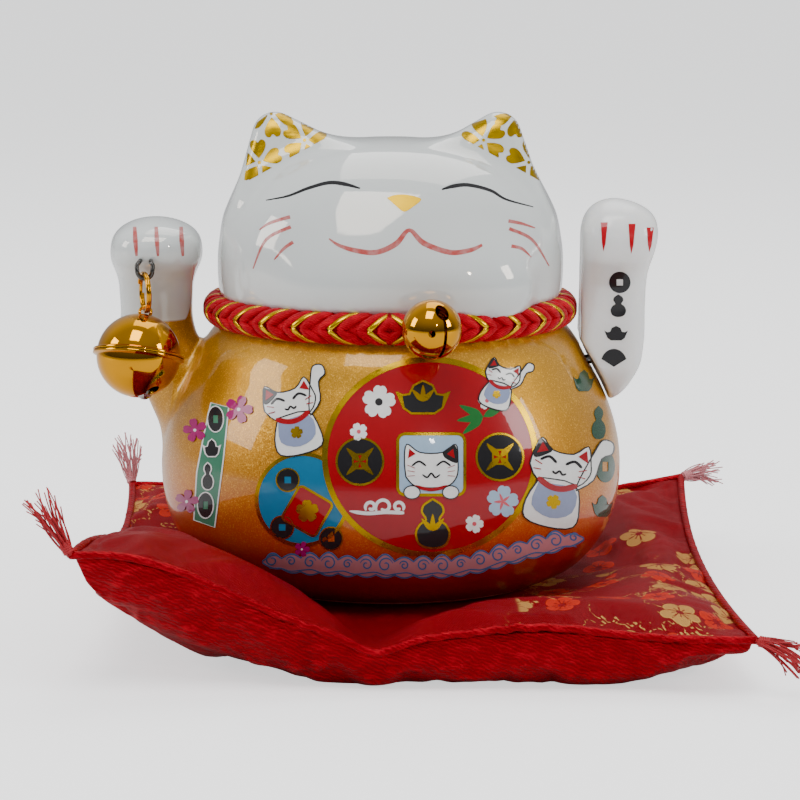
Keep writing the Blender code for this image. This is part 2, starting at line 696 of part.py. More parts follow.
def make_battery_cover(plastic):
    top = BASE_BOTTOM_Z - GAP
    low = (-COVER_HALF.x, -COVER_HALF.y, top - COVER_THICK)
    cover = box("battery_cover", low, (COVER_HALF.x, COVER_HALF.y, top), plastic)
    bevel = cover.modifiers.new("rounded edges", "BEVEL")
    bevel.width = 0.4 * MM
    bevel.segments = 1
    for i in range(3):
        x = 18 * MM + i * 2.4 * MM
        low = (x, -5 * MM, top - COVER_THICK - 1 * MM)
        high = (x + 1.1 * MM, 5 * MM, top - COVER_THICK + 0.5 * MM)
        cut(cover, box(f"cover grip form {i}", low, high))


def make_bearings(bronze):
    for name, x in (("shaft_bearing_inner", POST_INNER_X), ("shaft_bearing_outer", POST_OUTER_X)):
        half = POST_THICK / 2
        bore = SHAFT_RADIUS + 0.1 * MM
        profile = [(bore, half + 0.8 * MM), (BEARING_RADIUS, half + 0.8 * MM), (BEARING_RADIUS, -half)]
        profile.append((bore, -half))
        bush = turned(name, profile, bronze, steps=24, location=(x, 0, PIVOT.z), closed=True)
        bush.rotation_euler = (0, radians(90), 0)


# ---------------------------------------------------------------- waving arm


def make_swing_parts(steel, plastic, magnet_grey):
    hub = pivot_empty("arm_wave_joint", PIVOT)
    cylinder(
        "swing_shaft", (SHAFT_START_X, 0, PIVOT.z), (SHAFT_END_X, 0, PIVOT.z), SHAFT_RADIUS, steel, hub, segments=24
    )
    half = 1.1 * MM
    foot_z = PIVOT.z - LEVER_LENGTH
    lever = cylinder(
        "pendulum_lever", (LEVER_X - 2.4 * MM, 0, PIVOT.z), (LEVER_X + half, 0, PIVOT.z), 4 * MM, plastic, hub
    )
    low = (LEVER_X - half, -3 * MM, foot_z + 0.5 * MM)
    high = (LEVER_X + half - 0.1 * MM, 3 * MM, PIVOT.z)
    cut(lever, box("lever bar form", low, high), "UNION")
    low = (LEVER_X - 4.5 * MM, -4.5 * MM, foot_z)
    high = (LEVER_X + 4.5 * MM, 4.5 * MM, foot_z + 1.6 * MM)
    cut(lever, box("lever foot form", low, high), "UNION")
    start = (LEVER_X - 5 * MM, 0, PIVOT.z)
    end = (LEVER_X + 5 * MM, 0, PIVOT.z)
    cut(lever, cylinder("lever bore form", start, end, SHAFT_RADIUS + 0.1 * MM))
    top = foot_z - GAP
    cylinder(
        "pendulum_magnet", (LEVER_X, 0, top - MAGNET_THICK), (LEVER_X, 0, top), MAGNET_RADIUS, magnet_grey, hub
    )
    weight_z = foot_z + 1.6 * MM + GAP + WEIGHT_RADIUS
    start = (LEVER_X + half + GAP, 0, weight_z)
    cylinder(
        "counterweight", start, (LEVER_X + half + GAP + WEIGHT_LENGTH, 0, weight_z), WEIGHT_RADIUS, steel, hub
    )
    return hub


def clear_of_body(y, z):
    """The least x at which a point of the arm clears the body at every angle of the wave."""
    best = 50.6 * MM
    for degrees in range(-22, 23, 4):
        turn = radians(degrees)
        dy, dz = y - PIVOT.y, z - PIVOT.z
        at_y = PIVOT.y + dy * cos(turn) - dz * sin(turn)
        at_z = PIVOT.z + dy * sin(turn) + dz * cos(turn)
        radius = body_radius(min(at_z, FOOT_Z + 66 * MM))
        inside = 1 - (at_y / (radius * DEPTH_RATIO)) ** 2
        best = max(best, radius * sqrt(max(0.0, inside)) + 0.7 * MM)
    return best


ARM_SECTIONS = (
    # height above the foot, outer x, centre y, half depth
    (48.2, 60.4, 0.0, 0.0),
    (49.6, 61.8, 0.0, 5.5),
    (51.1, 62.8, 0.0, 8.0),
    (55.2, 65.2, 0.0, 10.6),
    (59.5, 67.2, 0.0, 11.6),
    (64.4, 68.1, -0.3, 11.6),
    (75.5, 68.6, -1.0, 10.4),
    (83.3, 69.2, -1.8, 10.0),
    (89.0, 70.8, -3.2, 11.2),
    (94.9, 71.9, -4.4, 12.4),
    (99.5, 70.6, -4.6, 11.0),
    (101.8, 67.6, -4.4, 7.4),
    (103.0, 61.5, -4.2, 0.0),
)


def arm_point(inset):
    """Maps the unit sphere to the arm's outside or, inset, to its hollow."""
    low, high = ARM_SECTIONS[0][0] * MM + inset * 1.6, ARM_SECTIONS[-1][0] * MM - inset * 1.2
    ease = 0.22  # opens up the upper end, which is blunter than the lower one

    def place_point(unit):
        level = (1 + unit.z) / 2
        level = level + ease * level * (1 - level)
        z = low + (high - low) * level
        outer, mid_y, deep = (value * MM for value in interpolated(ARM_SECTIONS, z / MM))
        z += FOOT_Z
        flat = sqrt(unit.x**2 + unit.y**2)
        across, along = (unit.x / flat, unit.y / flat) if flat > 1e-6 else (0.0, 0.0)
        deep = max(0.0, deep - inset)
        y = mid_y + along * deep
        inner = clear_of_body(y, z) + inset
        outer = outer - inset
        top_in = max(0.0, z - FOOT_Z - 96 * MM)
        inner += 0.5 * top_in**2 / (7 * MM) * 2
        middle = (inner + outer) / 2
        half = max(0.0, (outer - inner) / 2)
        if flat < 1e-6:
            half = 0.0
        return Vector((middle + across * half, y, z))

    return place_point


def make_arm_shells(plastic, hub):
    reach = 20 * MM
    halves = (("arm_front_shell", -1), ("arm_rear_shell", 1))
    hollow = moulded("arm hollow form", arm_point(ARM_WALL), around=14, rows=12)
    bore_start = PIVOT + Vector((-6 * MM, 0, 0))
    bore_end = PIVOT + Vector((4.5 * MM, 0, 0))
    bore = cylinder("arm bore form", bore_start, bore_end, SHAFT_RADIUS + 0.35 * MM, segments=16)
    for name, side in halves:
        shell = moulded(name, arm_point(0.0), plastic, around=18, rows=16, parent=hub)
        cut(shell, hollow)
        cut(shell, bore)
        near, far = side * GAP / 2, side * 40 * MM
        low = (PIVOT.x - reach, min(near, far), ARM_BOTTOM - reach)
        high = (PIVOT.x + 2 * reach, max(near, far), ARM_TOP + reach)
        cut(shell, box(f"{name} half form", low, high), "INTERSECT")


# ---------------------------------------------------------------- cushion


def smooth_step(part):
    part = min(1.0, max(0.0, part))
    return part * part * (3 - 2 * part)


def corner_rise(s, t):
    """How much the cushion's seam is lifted at (s, t), each from -1 to 1 across the cushion."""
    total = 0.0
    for (sx, sy), lift in CORNER_LIFT.items():
        near = max(0.0, (s * sx + 1) / 2) * max(0.0, (t * sy + 1) / 2)
        total += lift * near**4
    return total


def cushion_plan(s, t):
    """Plan position of (s, t): a square whose sides pull in between its corners."""
    pull_x = SIDE_PULL_IN * (1 - t * t) * abs(s) ** 3
    pull_y = SIDE_PULL_IN * (1 - s * s) * abs(t) ** 3
    x = s * CUSHION_HALF - (pull_x if s > 0 else -pull_x)
    y = t * CUSHION_HALF - (pull_y if t > 0 else -pull_y)
    return CUSHION_CENTRE.x + x, CUSHION_CENTRE.y + y


def cushion_top(x, y, s, t):
    """Height of the top panel: pressed flat under the foot, rising to the seam."""
    out = sqrt(x * x + y * y)
    pressed = FOOT_Z - GAP - 0.1 * MM
    risen = SEAM_Z + corner_rise(s, t)
    return pressed + (risen - pressed) * smooth_step((out - 46 * MM) / (34 * MM))


def cushion_bottom(s, t):
    """Height of the underside: flat on the table, rising to the seam and to the lifted corners."""
    rise = smooth_step((max(abs(s), abs(t)) - 0.8) / 0.2)
    lift = corner_rise(s, t)
    lifted = lift * smooth_step((min(abs(s), abs(t)) - 0.5) / 0.5)
    return rise * (SEAM_Z - SEAM_DEPTH + lift) + (1 - rise) * lifted


def unit_grid():
    """A grid from -1 to 1, cut into the same triangles for every layer so that the layers stay parallel."""
    shape = bmesh.new()
    bmesh.ops.create_grid(shape, x_segments=CUSHION_GRID, y_segments=CUSHION_GRID, size=1.0)
    bmesh.ops.triangulate(shape, faces=shape.faces[:], quad_method="FIXED")
    return shape


def cushion_panel(name, height, surface):
    """One cover panel: a grid laid at height(x, y, s, t), to be thickened towards the filling."""
    shape = unit_grid()
    for vertex in shape.verts:
        s, t = vertex.co.x, vertex.co.y
        x, y = cushion_plan(s, t)
        vertex.co = Vector((x, y, height(x, y, s, t)))
    mesh = bpy.data.meshes.new(name)
    shape.to_mesh(mesh)
    shape.free()
    return place(name, mesh, surface)


def thicken(obj, offset):
    solidify = obj.modifiers.new("cloth", "SOLIDIFY")
    solidify.thickness = CLOTH
    solidify.offset = offset
    solidify.use_even_offset = False


def make_cushion(brocade, satin, wadding):
    top = cushion_panel("cushion_top_cover", cushion_top, brocade)
    thicken(top, -1.0)
    bottom = cushion_panel("cushion_bottom_cover", lambda x, y, s, t: cushion_bottom(s, t), satin)
    thicken(bottom, 1.0)

    shape = unit_grid()
    made = bmesh.ops.extrude_face_region(shape, geom=shape.faces[:])
    upper = {item for item in made["geom"] if isinstance(item, bmesh.types.BMVert)}
    for vertex in shape.verts:
        vertex.co = filling_point(vertex.co.x, vertex.co.y, vertex in upper)
    place("cushion_filling", mesh_of("cushion_filling", shape), wadding)


def filling_point(s, t, upper):
    """A point of the filling: one margin inside the covers, and short of their seam."""
    margin = CLOTH + 2 * GAP
    last_row = 1 - 2 / CUSHION_GRID

    def inside_cover(s, t):
        x, y = cushion_plan(s, t)
        if upper:
            return Vector((x, y, cushion_top(x, y, s, t) - margin))
        low = cushion_bottom(s, t)
        steeper = 0.2 * low + GAP
        return Vector((x, y, low + margin + steeper))

    at_cover = inside_cover(s, t)
    one_in = inside_cover(max(-last_row, min(last_row, s)), max(-last_row, min(last_row, t)))
    at_corner = abs(s) > last_row + 0.01 and abs(t) > last_row + 0.01
    return at_cover.lerp(one_in, 0.75 if at_corner else 0.45)


def make_tassels(thread):
    directions = {
        (-1, -1): ("front_right", Vector((-0.55, 0.15, 0.82))),
        (1, -1): ("front_left", Vector((0.75, -0.4, -0.45))),
        (1, 1): ("rear_left", Vector((0.85, 0.45, 0.15))),
        (-1, 1): ("rear_right", Vector((-0.35, 0.55, 0.75))),
    }
    for (sx, sy), (name, direction) in directions.items():
        x, y = cushion_plan(sx, sy)
        height = SEAM_Z + corner_rise(sx, sy) - 0.5 * MM
        outward = Vector((sx, sy, 0)).normalized()
        start = Vector((x, y, height)) + outward * 1.2 * MM
        aim = direction.normalized()
        end = start + aim * TASSEL_LENGTH
        tassel = cylinder(
            f"tassel_{name}", start, end, 1.2 * MM, thread, segments=12, end_radius=TASSEL_RADIUS
        )
        bevel = tassel.modifiers.new("soft ends", "BEVEL")
        bevel.width = 0.6 * MM
        bevel.segments = 1
        bevel.limit_method = "ANGLE"


# ---------------------------------------------------------------- the whole object


def main():
    global PARTS, CUTTERS
    clear_scene()
    PARTS = new_collection("beckoning cat figurine")
    CUTTERS = new_collection("cutters", hidden=True)

    glaze = material("gold and red glaze", (0.80, 0.45, 0.16), 0.16, 0.35)
    cord = material("red braided cord", (0.50, 0.01, 0.03), 0.55)
    crimp = material("red cord sleeve", (0.40, 0.01, 0.03), 0.6)
    gold = material("polished gold plate", (0.90, 0.55, 0.12), 0.14, 1.0)
    steel = material("steel wire", (0.45, 0.44, 0.43), 0.28, 1.0)
    milk_plastic = material("milky white plastic", (0.90, 0.89, 0.86), 0.30)
    white_plastic = material("white moulded plastic", (0.82, 0.82, 0.80), 0.45)
    black_plastic = material("black moulded plastic", (0.03, 0.03, 0.03), 0.45)
    board = material("circuit board", (0.05, 0.22, 0.09), 0.4)
    copper = material("enamelled copper wire", (0.72, 0.30, 0.14), 0.3, 1.0)
    bronze = material("bearing bronze", (0.62, 0.42, 0.20), 0.35, 1.0)
    cell_wrap = material("cell wrap", (0.10, 0.16, 0.30), 0.3)
    magnet_grey = material("nickel plated magnet", (0.60, 0.60, 0.60), 0.2, 1.0)
    brocade = material("red brocade", (0.55, 0.02, 0.03), 0.45)
    satin = material("red satin", (0.50, 0.01, 0.03), 0.35)
    wadding = material("polyester wadding", (0.85, 0.84, 0.80), 0.9)
    thread = material("red silk thread", (0.55, 0.01, 0.03), 0.5)

    make_ceramic_body(glaze)
    make_collar(cord, crimp)
    make_neck_bell(gold, steel)
    make_paw_charm(gold, steel)
    make_movement_base(white_plastic)
    make_battery(steel, cell_wrap, steel)
    make_electronics(board, copper, white_plastic, steel)
    make_switch_knob(black_plastic)
    make_battery_cover(white_plastic)
    make_bearings(bronze)
    hub = make_swing_parts(steel, white_plastic, magnet_grey)
    make_arm_shells(milk_plastic, hub)
    make_cushion(brocade, satin, wadding)
    make_tassels(thread)


main()
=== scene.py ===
"""Looks of the beckoning cat figurine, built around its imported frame.

Shapes are worked out in millimetres in the frame's axes (+Z up, the cat looks along -Y) and written to meshes
in metres. Glazed and moulded forms are distance fields, meshed and then drawn onto their own zero surface.
"""

import json
import random
from math import cos, hypot, pi, radians, sin, sqrt

import bmesh
import bpy
import numpy as np
import openvdb
from mathutils import Matrix, Vector
from mathutils.bvhtree import BVHTree
from mathutils.geometry import tessellate_polygon


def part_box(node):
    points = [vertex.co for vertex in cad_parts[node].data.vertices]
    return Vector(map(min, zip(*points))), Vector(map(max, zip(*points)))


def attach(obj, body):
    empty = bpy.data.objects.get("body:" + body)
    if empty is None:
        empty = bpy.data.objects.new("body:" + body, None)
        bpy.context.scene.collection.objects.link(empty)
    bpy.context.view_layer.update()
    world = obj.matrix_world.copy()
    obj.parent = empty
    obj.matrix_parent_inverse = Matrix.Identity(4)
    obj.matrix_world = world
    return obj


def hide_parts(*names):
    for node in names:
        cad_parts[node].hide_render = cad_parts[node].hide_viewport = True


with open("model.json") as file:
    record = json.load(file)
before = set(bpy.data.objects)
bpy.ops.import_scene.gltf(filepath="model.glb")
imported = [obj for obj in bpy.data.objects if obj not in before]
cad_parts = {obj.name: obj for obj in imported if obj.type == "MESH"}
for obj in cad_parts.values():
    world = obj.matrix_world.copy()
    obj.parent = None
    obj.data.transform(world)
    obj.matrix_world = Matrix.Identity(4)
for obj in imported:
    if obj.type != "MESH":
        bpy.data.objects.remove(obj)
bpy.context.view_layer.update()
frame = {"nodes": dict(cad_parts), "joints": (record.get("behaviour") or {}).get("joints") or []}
MM = 0.001
JOINTS = {joint["name"]: joint for joint in frame["joints"]}


def node_box(name):
    """Lowest and highest corner of a CAD node, in millimetres."""
    low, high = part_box(name)
    return Vector(low) / MM, Vector(high) / MM


def node_middle(name):
    """Middle of a CAD node and half its height, in millimetres."""
    low, high = node_box(name)
    return (low + high) / 2, (high.z - low.z) / 2


def joint_at(name):
    return Vector(JOINTS[name]["pos_m"]) / MM


# ---------------------------------------------------------------- driving sizes, in millimetres

FOOT = node_box("ceramic_body")[0].z
DEPTH_RATIO = 0.93
WALL = 4.0
PIVOT = joint_at("arm_wave")
SHAFT_HOLE = 4.0
ARM_CLEARANCE = 0.6
BODY_CURVE = (
    # height above the foot, radius
    (0.0, 40.0), (1.6, 44.5), (4.2, 50.0), (8.4, 54.8), (14.0, 58.6), (21.0, 61.2), (29.0, 62.3),
    (37.0, 61.9), (45.0, 60.0), (52.5, 57.0), (59.5, 53.2), (66.0, 49.6), (69.6, 46.6), (73.0, 42.4),
    (85.0, 41.0),
)
HEAD_CENTRE = Vector((-0.6, 0.0, FOOT + 85.6))
HEAD_HALF = Vector((46.9, 40.6, 33.6))
TALLER = 1.012
COLLAR_Z = FOOT + 74.6
COLLAR_RADIUS = 46.8
COLLAR_X = -0.7
COLLAR_RISE = 0.4
COLLAR_REACH = pi - radians(11.5)  # angle from the front to the sleeve that joins the cord's ends
GROOVE_RADIUS = 2.8

# The view the figurine is drawn for: the painted outlines are given in this elevation.
CAMERA_DISTANCE = 800.0
CAMERA_PITCH = 10.2
CAMERA_LENS = 133.2
CAMERA = Vector((2.0, -CAMERA_DISTANCE, FOOT + 192.5))


# ---------------------------------------------------------------- node materials


class Value:
    """An output of a shader node. Arithmetic with it adds the nodes that work it out."""

    def __init__(self, socket):
        self.socket = socket
        self.tree = socket.id_data

    def math(self, operation, *others):
        return node(self.tree, "Math", dict(enumerate((self, *others))), operation=operation)

    def vector(self, operation, *others, out=0):
        return node(self.tree, "VectorMath", dict(enumerate((self, *others))), out, operation=operation)

    def __add__(self, other):
        return self.math("ADD", other)

    def __sub__(self, other):
        return self.math("SUBTRACT", other)

    def __rsub__(self, other):
        return node(self.tree, "Math", {0: other, 1: self}, operation="SUBTRACT")

    def __mul__(self, other):
        return self.math("MULTIPLY", other)

    def scaled(self, factor, offset):
        return self.math("MULTIPLY_ADD", factor, offset)

    def step(self, low, high):
        """0 below low, 1 above high, smooth between."""
        limits = {"Value": self, "From Min": low, "From Max": high}
        return node(self.tree, "MapRange", limits, "Result", interpolation_type="SMOOTHSTEP")

    def parts(self, kind="XYZ"):
        made = self.tree.nodes.new("ShaderNodeSeparate" + kind)
        feed(made.inputs[0], self)
        return [Value(output) for output in made.outputs]

    def noise(self, scale, detail=3.0, rough=0.5, out="Fac"):
        inputs = {"Vector": self, "Scale": scale, "Detail": detail, "Roughness": rough}
        return node(self.tree, "TexNoise", inputs, out)


def feed(socket, value):
    """Links a socket, or sets its value."""
    if isinstance(value, Value):
        value.tree.links.new(value.socket, socket)
    elif socket.type == "RGBA" and len(value) == 3:
        socket.default_value = (*value, 1.0)
    else:
        socket.default_value = value


def node(tree, kind, inputs, out=0, **settings):
    made = tree.nodes.new("ShaderNode" + kind)
    for key, value in settings.items():
        setattr(made, key, value)
    for key, value in inputs.items():
        feed(made.inputs[key], value)
    return Value(made.outputs[out])


def mixed(share, first, second):
    """A colour between two, by a share."""
    return node(share.tree, "Mix", {0: share, 6: first, 7: second}, 2, data_type="RGBA")


def ramp(value, stops):
    """A colour ramp over (position, colour) stops."""
    made = value.tree.nodes.new("ShaderNodeValToRGB")
    feed(made.inputs[0], value)
    points = made.color_ramp.elements
    while len(points) < len(stops):
        points.new(0.5)
    for point, (at, colour) in zip(points, stops):
        point.position = at
        point.color = (*colour, 1.0)
    return Value(made.outputs[0])


def bump(height, distance, strength=1.0, normal=None):
    """A surface normal bent by a height, whose full range is a distance in millimetres."""
    inputs = {"Height": height, "Distance": distance * MM, "Strength": strength}
    if normal:
        inputs["Normal"] = normal
    return node(height.tree, "Bump", inputs, "Normal")


class Look:
    """A new material and its place in millimetres, for a finish to be worked out from."""

    def __init__(self, name):
        self.material = bpy.data.materials.new(name)
        self.material.use_nodes = True
        self.tree = self.material.node_tree
        self.where = node(self.tree, "TexCoord", {}, "Object").vector("MULTIPLY", (1 / MM, 1 / MM, 1 / MM))
        self.x, self.y, self.z = self.where.parts()

    def surfaced(self, inputs):
        for key, value in inputs.items():
            feed(self.tree.nodes["Principled BSDF"].inputs[key], value)
        return self.material


def toned(colour, share):
    return tuple(min(1.0, part * share) for part in colour)


def mottled(
    name, colour, roughness, metallic=0.0, coat=0.0, scale=0.6, vary=0.12, relief=0.01, sheen=0.0, deep=0.0
):
    """A general finish: colour and roughness that vary, fine relief, optional coat, sheen and depth."""
    look = Look(name)
    fine = look.where.noise(scale * 9)
    inputs = {
        "Base Color": mixed(look.where.noise(scale, 4.0), toned(colour, 1 - vary), toned(colour, 1 + vary)),
        "Roughness": fine.scaled(roughness * 0.5, roughness * 0.75),
        "Metallic": metallic,
        "Coat Weight": coat,
        "Coat Roughness": 0.05,
        "Sheen Weight": sheen,
        "Normal": bump(fine, relief),
    }
    if deep:
        inputs |= {"Subsurface Weight": deep, "Subsurface Radius": (3.0, 2.6, 2.2), "Subsurface Scale": MM}
    return look.surfaced(inputs)


def glaze_material():
    """White glaze on head and paw, gold glitter on the body that runs into dark red, bare foot."""
    look = Look("glaze")
    drift = look.where.noise(0.05).scaled(9.0, -4.5)
    height = (look.z + drift - FOOT).math("DIVIDE", 80.0)
    body = ramp(height, (
        (0.02, (0.13, 0.000, 0.001)),
        (0.12, (0.22, 0.000, 0.001)),
        (0.20, (0.38, 0.006, 0.001)),
        (0.28, (0.50, 0.060, 0.002)),
        (0.36, (0.50, 0.135, 0.006)),
        (0.46, (0.45, 0.170, 0.000)),
        (0.70, (0.48, 0.215, 0.000)),
        (1.00, (0.50, 0.240, 0.004)),
    ))
    flakes, fine_flakes = (
        node(look.tree, "TexVoronoi", {"Vector": look.where, "Scale": scale}, "Color") for scale in (3.2, 6.5)
    )
    bright = flakes.parts("Color")[0].step(0.82, 1.0) + fine_flakes.parts("Color")[1].step(0.7, 1.0)
    glitter = bright * height.step(0.12, 0.5)
    gold = mixed(glitter * 0.5, body, (0.90, 0.50, 0.06))
    white = mixed(look.where.noise(0.03, 2.0), (0.63, 0.675, 0.67), (0.72, 0.745, 0.735))
    on_arm = look.x.step(-54.5, -56.5)
    white_from = on_arm.scaled(-4.0, 75.5 + FOOT)
    is_white = (look.z + drift * 0.15 - white_from).step(-0.35, 0.35)
    is_glazed = look.z.step(FOOT + 1.6, FOOT + 2.0)
    is_gold = (1.0 - is_white) * is_glazed
    flake_tilt = {0: fine_flakes.vector("SUBTRACT", (0.5, 0.5, 0.5)), "Scale": is_gold * 0.22}
    tilt = node(look.tree, "VectorMath", flake_tilt, operation="SCALE")
    return look.surfaced({
        "Base Color": mixed(is_glazed, (0.72, 0.66, 0.60), mixed(is_white, gold, white)),
        "Metallic": is_gold * height.step(0.06, 0.42) * 0.45,
        "Roughness": is_gold.scaled(0.30, 0.07) + (1.0 - is_glazed) * 0.6,
        "Specular Tint": (1.0, 0.75, 0.45),
        "Coat Weight": is_glazed * is_gold.scaled(-0.4, 1.0),
        "Coat Roughness": 0.035,
        "Coat IOR": 1.52,
        "Normal": node(look.tree, "NewGeometry", {}, "Normal").vector("ADD", tilt).vector("NORMALIZE"),
        "Coat Normal": bump(look.where.noise(0.09, 2.0), 0.05, 0.5),
    })


def foil_material(name, colour, roughness):
    """Printed gold foil under glaze, slightly cloudy."""
    look = Look(name)
    cloud = look.where.noise(0.35, 4.0)
    return look.surfaced({
        "Base Color": mixed(cloud, colour, toned(colour, 1.25)),
        "Metallic": 1.0,
        "Roughness": cloud.scaled(0.16, roughness),
        "Normal": bump(look.where.noise(0.8, 2.0), 0.015),
    })


def paint_material(name, colour, fade=0.0, under=None):
    """Printed or brushed colour under the clear glaze. fade lets another colour show through in patches."""
    look = Look(name)
    patch = look.where.noise(0.55, 4.0)
    paint = mixed(patch, colour, toned(colour, 0.86))
    if fade:
        paint = mixed(patch.step(0.3, 0.75) * fade, paint, under)
    return look.surfaced({
        "Base Color": paint,
        "Roughness": 0.25,
        "Specular IOR Level": 0.1,
        "Coat Weight": 0.55,
        "Coat Roughness": 0.035,
    })


def cloth_material(name, colour, second, pitch, creases, lustre):
    """Twill cloth: slanted ridges and small creases over a colour that clouds from one tone to another, and a
    painted sheen that lightens the crests of ridges and creases.
    """
    look = Look(name)
    waver = look.where.noise(0.35, 2.0) * 2.2
    slant = (look.x + look.y).scaled(0.42, look.z)
    ridge = ((slant + waver) * (2 * pi / pitch)).math("SINE")
    crease = look.where.vector("MULTIPLY", (0.22, 0.22, 0.55)).noise(1.0, 5.0, 0.6)
    # Painted sheen: the crests of the twill ridges and of the creases are painted in a lighter copy of the
    # colour.
    lit = ridge.scaled(0.28, crease.step(0.38, 0.75) * 0.8)
    cloudy = mixed(look.where.noise(0.08, 4.0), colour, second)
    return look.surfaced({
        "Base Color": mixed(lit * 0.75, cloudy, toned(colour, 1.9)),
        "Roughness": ridge.scaled(0.05, 0.38),
        "Metallic": lustre,
        "Specular IOR Level": 0.3,
        "Specular Tint": (1.0, 0.16, 0.12),
        "Normal": bump(crease, creases, 0.9, bump(ridge, 0.05, 0.8)),
    })


def brocade_material():
    """Red satin ground woven with gold and orange-red blossoms, twigs between them; the gold and orange
    threads carry a painted sheen along the weave.
    """
    blossom_cell, twig_cell, thread = 13.5, 21.0, 0.45
    look = Look("brocade")
    x, y = look.x, look.y
    flat = node(look.tree, "CombineXYZ", {"X": x, "Y": y, "Z": 0.0})
    # One blossom in each cell, drawn in its own polar coordinates.
    cells = look.tree.nodes.new("ShaderNodeTexVoronoi")
    cells.voronoi_dimensions = "2D"
    for key, value in (("Vector", flat), ("Scale", 1 / blossom_cell), ("Randomness", 0.42)):
        feed(cells.inputs[key], value)
    chance = Value(cells.outputs["Color"]).parts("Color")
    delta = flat.vector("SUBTRACT", Value(cells.outputs["Position"]))
    across, along, _ = delta.parts()
    radius = delta.vector("LENGTH", out="Value")
    angle = chance[0].scaled(6.28, along.math("ARCTAN2", across))
    lobes = (angle * 2.5).math("COSINE").math("ABSOLUTE")
    edge = lobes.math("POWER", 0.5).scaled(2.2, 2.7) * chance[2].scaled(0.2, 0.85)
    petal = (edge - radius).step(-0.1, 0.25)
    stamen = (angle * 10.0).math("COSINE").step(0.3, 0.7) * radius.step(2.5, 2.2)
    inside = petal * lobes.step(0.10, 0.30) * radius.step(0.9, 1.15) * (1.0 - stamen * 0.85)
    rim = (edge - radius).math("ABSOLUTE").step(0.42, 0.15)
    # Blossoms are dense at the front right and the rear left, rare where the front left is almost plain.
    right_front = x.step(12.0, 40.0) * y.step(30.0, -30.0)
    left_rear = x.step(-40.0, -60.0) * y.step(-30.0, 10.0)
    bare = x.step(0.0, -20.0) * y.step(-38.0, -50.0)
    density = right_front.math("MAXIMUM", left_rear).scaled(0.75, flat.noise(0.022, 2.0) * 0.30) - bare * 0.2
    flower = (inside * 0.85).math("MAXIMUM", rim) * (density - chance[1]).step(0.0, 0.04)
    is_gold = chance[2].step(0.42, 0.46)
    # Twigs of short stitches run between them.
    wobble = look.where.noise(0.16, 2.0, out="Color").vector("MULTIPLY", (26.0, 26.0, 0.0))
    twig_cells = {"Vector": flat.vector("ADD", wobble), "Scale": 1 / twig_cell}
    veins = node(
        look.tree, "TexVoronoi", twig_cells, "Distance", voronoi_dimensions="2D", feature="DISTANCE_TO_EDGE"
    )
    stitches = ((x + y) * 3.6).math("SINE").step(-0.5, 0.3)
    twig = veins.step(0.030, 0.015) * density.step(0.55, 0.75) * (1.0 - petal) * stitches

    weave = ((x + y) * (2 * pi / thread)).math("SINE") + ((x - y) * (2 * pi / thread)).math("SINE")
    # Painted sheen: the gold and orange threads are painted lighter and darker along the weave's ridges.
    lit = weave.scaled(0.2, 0.5)
    gold = mixed(lit, (0.50, 0.25, 0.05), (0.80, 0.50, 0.16))
    orange = mixed(lit, (0.50, 0.01, 0.004), (0.78, 0.05, 0.015))
    ground = mixed(look.where.noise(0.07, 4.0), (0.18, 0.000, 0.004), (0.32, 0.000, 0.010))
    metal = (flower * is_gold).math("MAXIMUM", twig)
    relief = flower.math("MAXIMUM", twig).scaled(3.0, weave)
    return look.surfaced({
        "Base Color": mixed(twig, mixed(flower, ground, mixed(is_gold, orange, gold)), gold),
        "Metallic": metal.scaled(0.25, 0.30),
        "Roughness": flower.scaled(0.08, 0.36),
        "Specular IOR Level": 0.25,
        "Specular Tint": (1.0, 0.25, 0.2),
        "Normal": bump(relief, 0.05, 0.8, bump(look.where.noise(0.16), 1.0, 0.6)),
    })


# ---------------------------------------------------------------- meshes and pieces


def place_object(name, data):
    made = bpy.data.objects.new(name, data)
    bpy.context.scene.collection.objects.link(made)
    return made


def piece(name, mesh, body, slot, surface, node_name=None):
    """A visible piece that rides on a body, in place of a CAD node if one is named."""
    mesh.name = name
    mesh.materials.clear()
    mesh.materials.append(surface)
    mesh.shade_smooth()
    obj = place_object(name, mesh)
    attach(obj, body)
    if node_name:
        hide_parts(node_name)
    return obj


def to_mesh(points, faces):
    """A mesh in metres from points in millimetres."""
    mesh = bpy.data.meshes.new("mesh")
    mesh.from_pydata([tuple(Vector(p) * MM) for p in points], [], [tuple(f) for f in faces])
    mesh.update()
    return mesh


def baked(shape, face_outwards=False):
    """The mesh of a bmesh that is done with."""
    if face_outwards:
        bmesh.ops.recalc_face_normals(shape, faces=shape.faces)
    mesh = bpy.data.meshes.new("mesh")
    shape.to_mesh(mesh)
    shape.free()
    return mesh


def joined(*meshes):
    shape = bmesh.new()
    for mesh in meshes:
        shape.from_mesh(mesh)
        bpy.data.meshes.remove(mesh)
    return baked(shape)


def faced_out(mesh, weld=0.0):
    """The mesh with its faces turned outwards, its points merged that are closer than weld metres."""
    shape = bmesh.new()
    shape.from_mesh(mesh)
    bpy.data.meshes.remove(mesh)
    if weld:
        bmesh.ops.remove_doubles(shape, verts=shape.verts, dist=weld)
    return baked(shape, True)


def evaluated_mesh(obj):
    bpy.context.view_layer.update()
    return bpy.data.meshes.new_from_object(obj.evaluated_get(bpy.context.evaluated_depsgraph_get()))


def tube_mesh(paths, radius, sides, cyclic=False):
    """Wires along point lists in millimetres, all in one mesh."""
    curve = bpy.data.curves.new("wire", "CURVE")
    curve.dimensions = "3D"
    curve.bevel_depth = radius * MM
    curve.bevel_resolution = sides
    curve.use_fill_caps = True
    for path in paths:
        spline = curve.splines.new("POLY")
        spline.points.add(len(path) - 1)
        for point, where in zip(spline.points, path):
            point.co = (*(Vector(where) * MM), 1.0)
        spline.use_cyclic_u = cyclic
    holder = place_object("wire", curve)
    mesh = evaluated_mesh(holder)
    bpy.data.objects.remove(holder, do_unlink=True)
    return faced_out(mesh, 0.0000002)


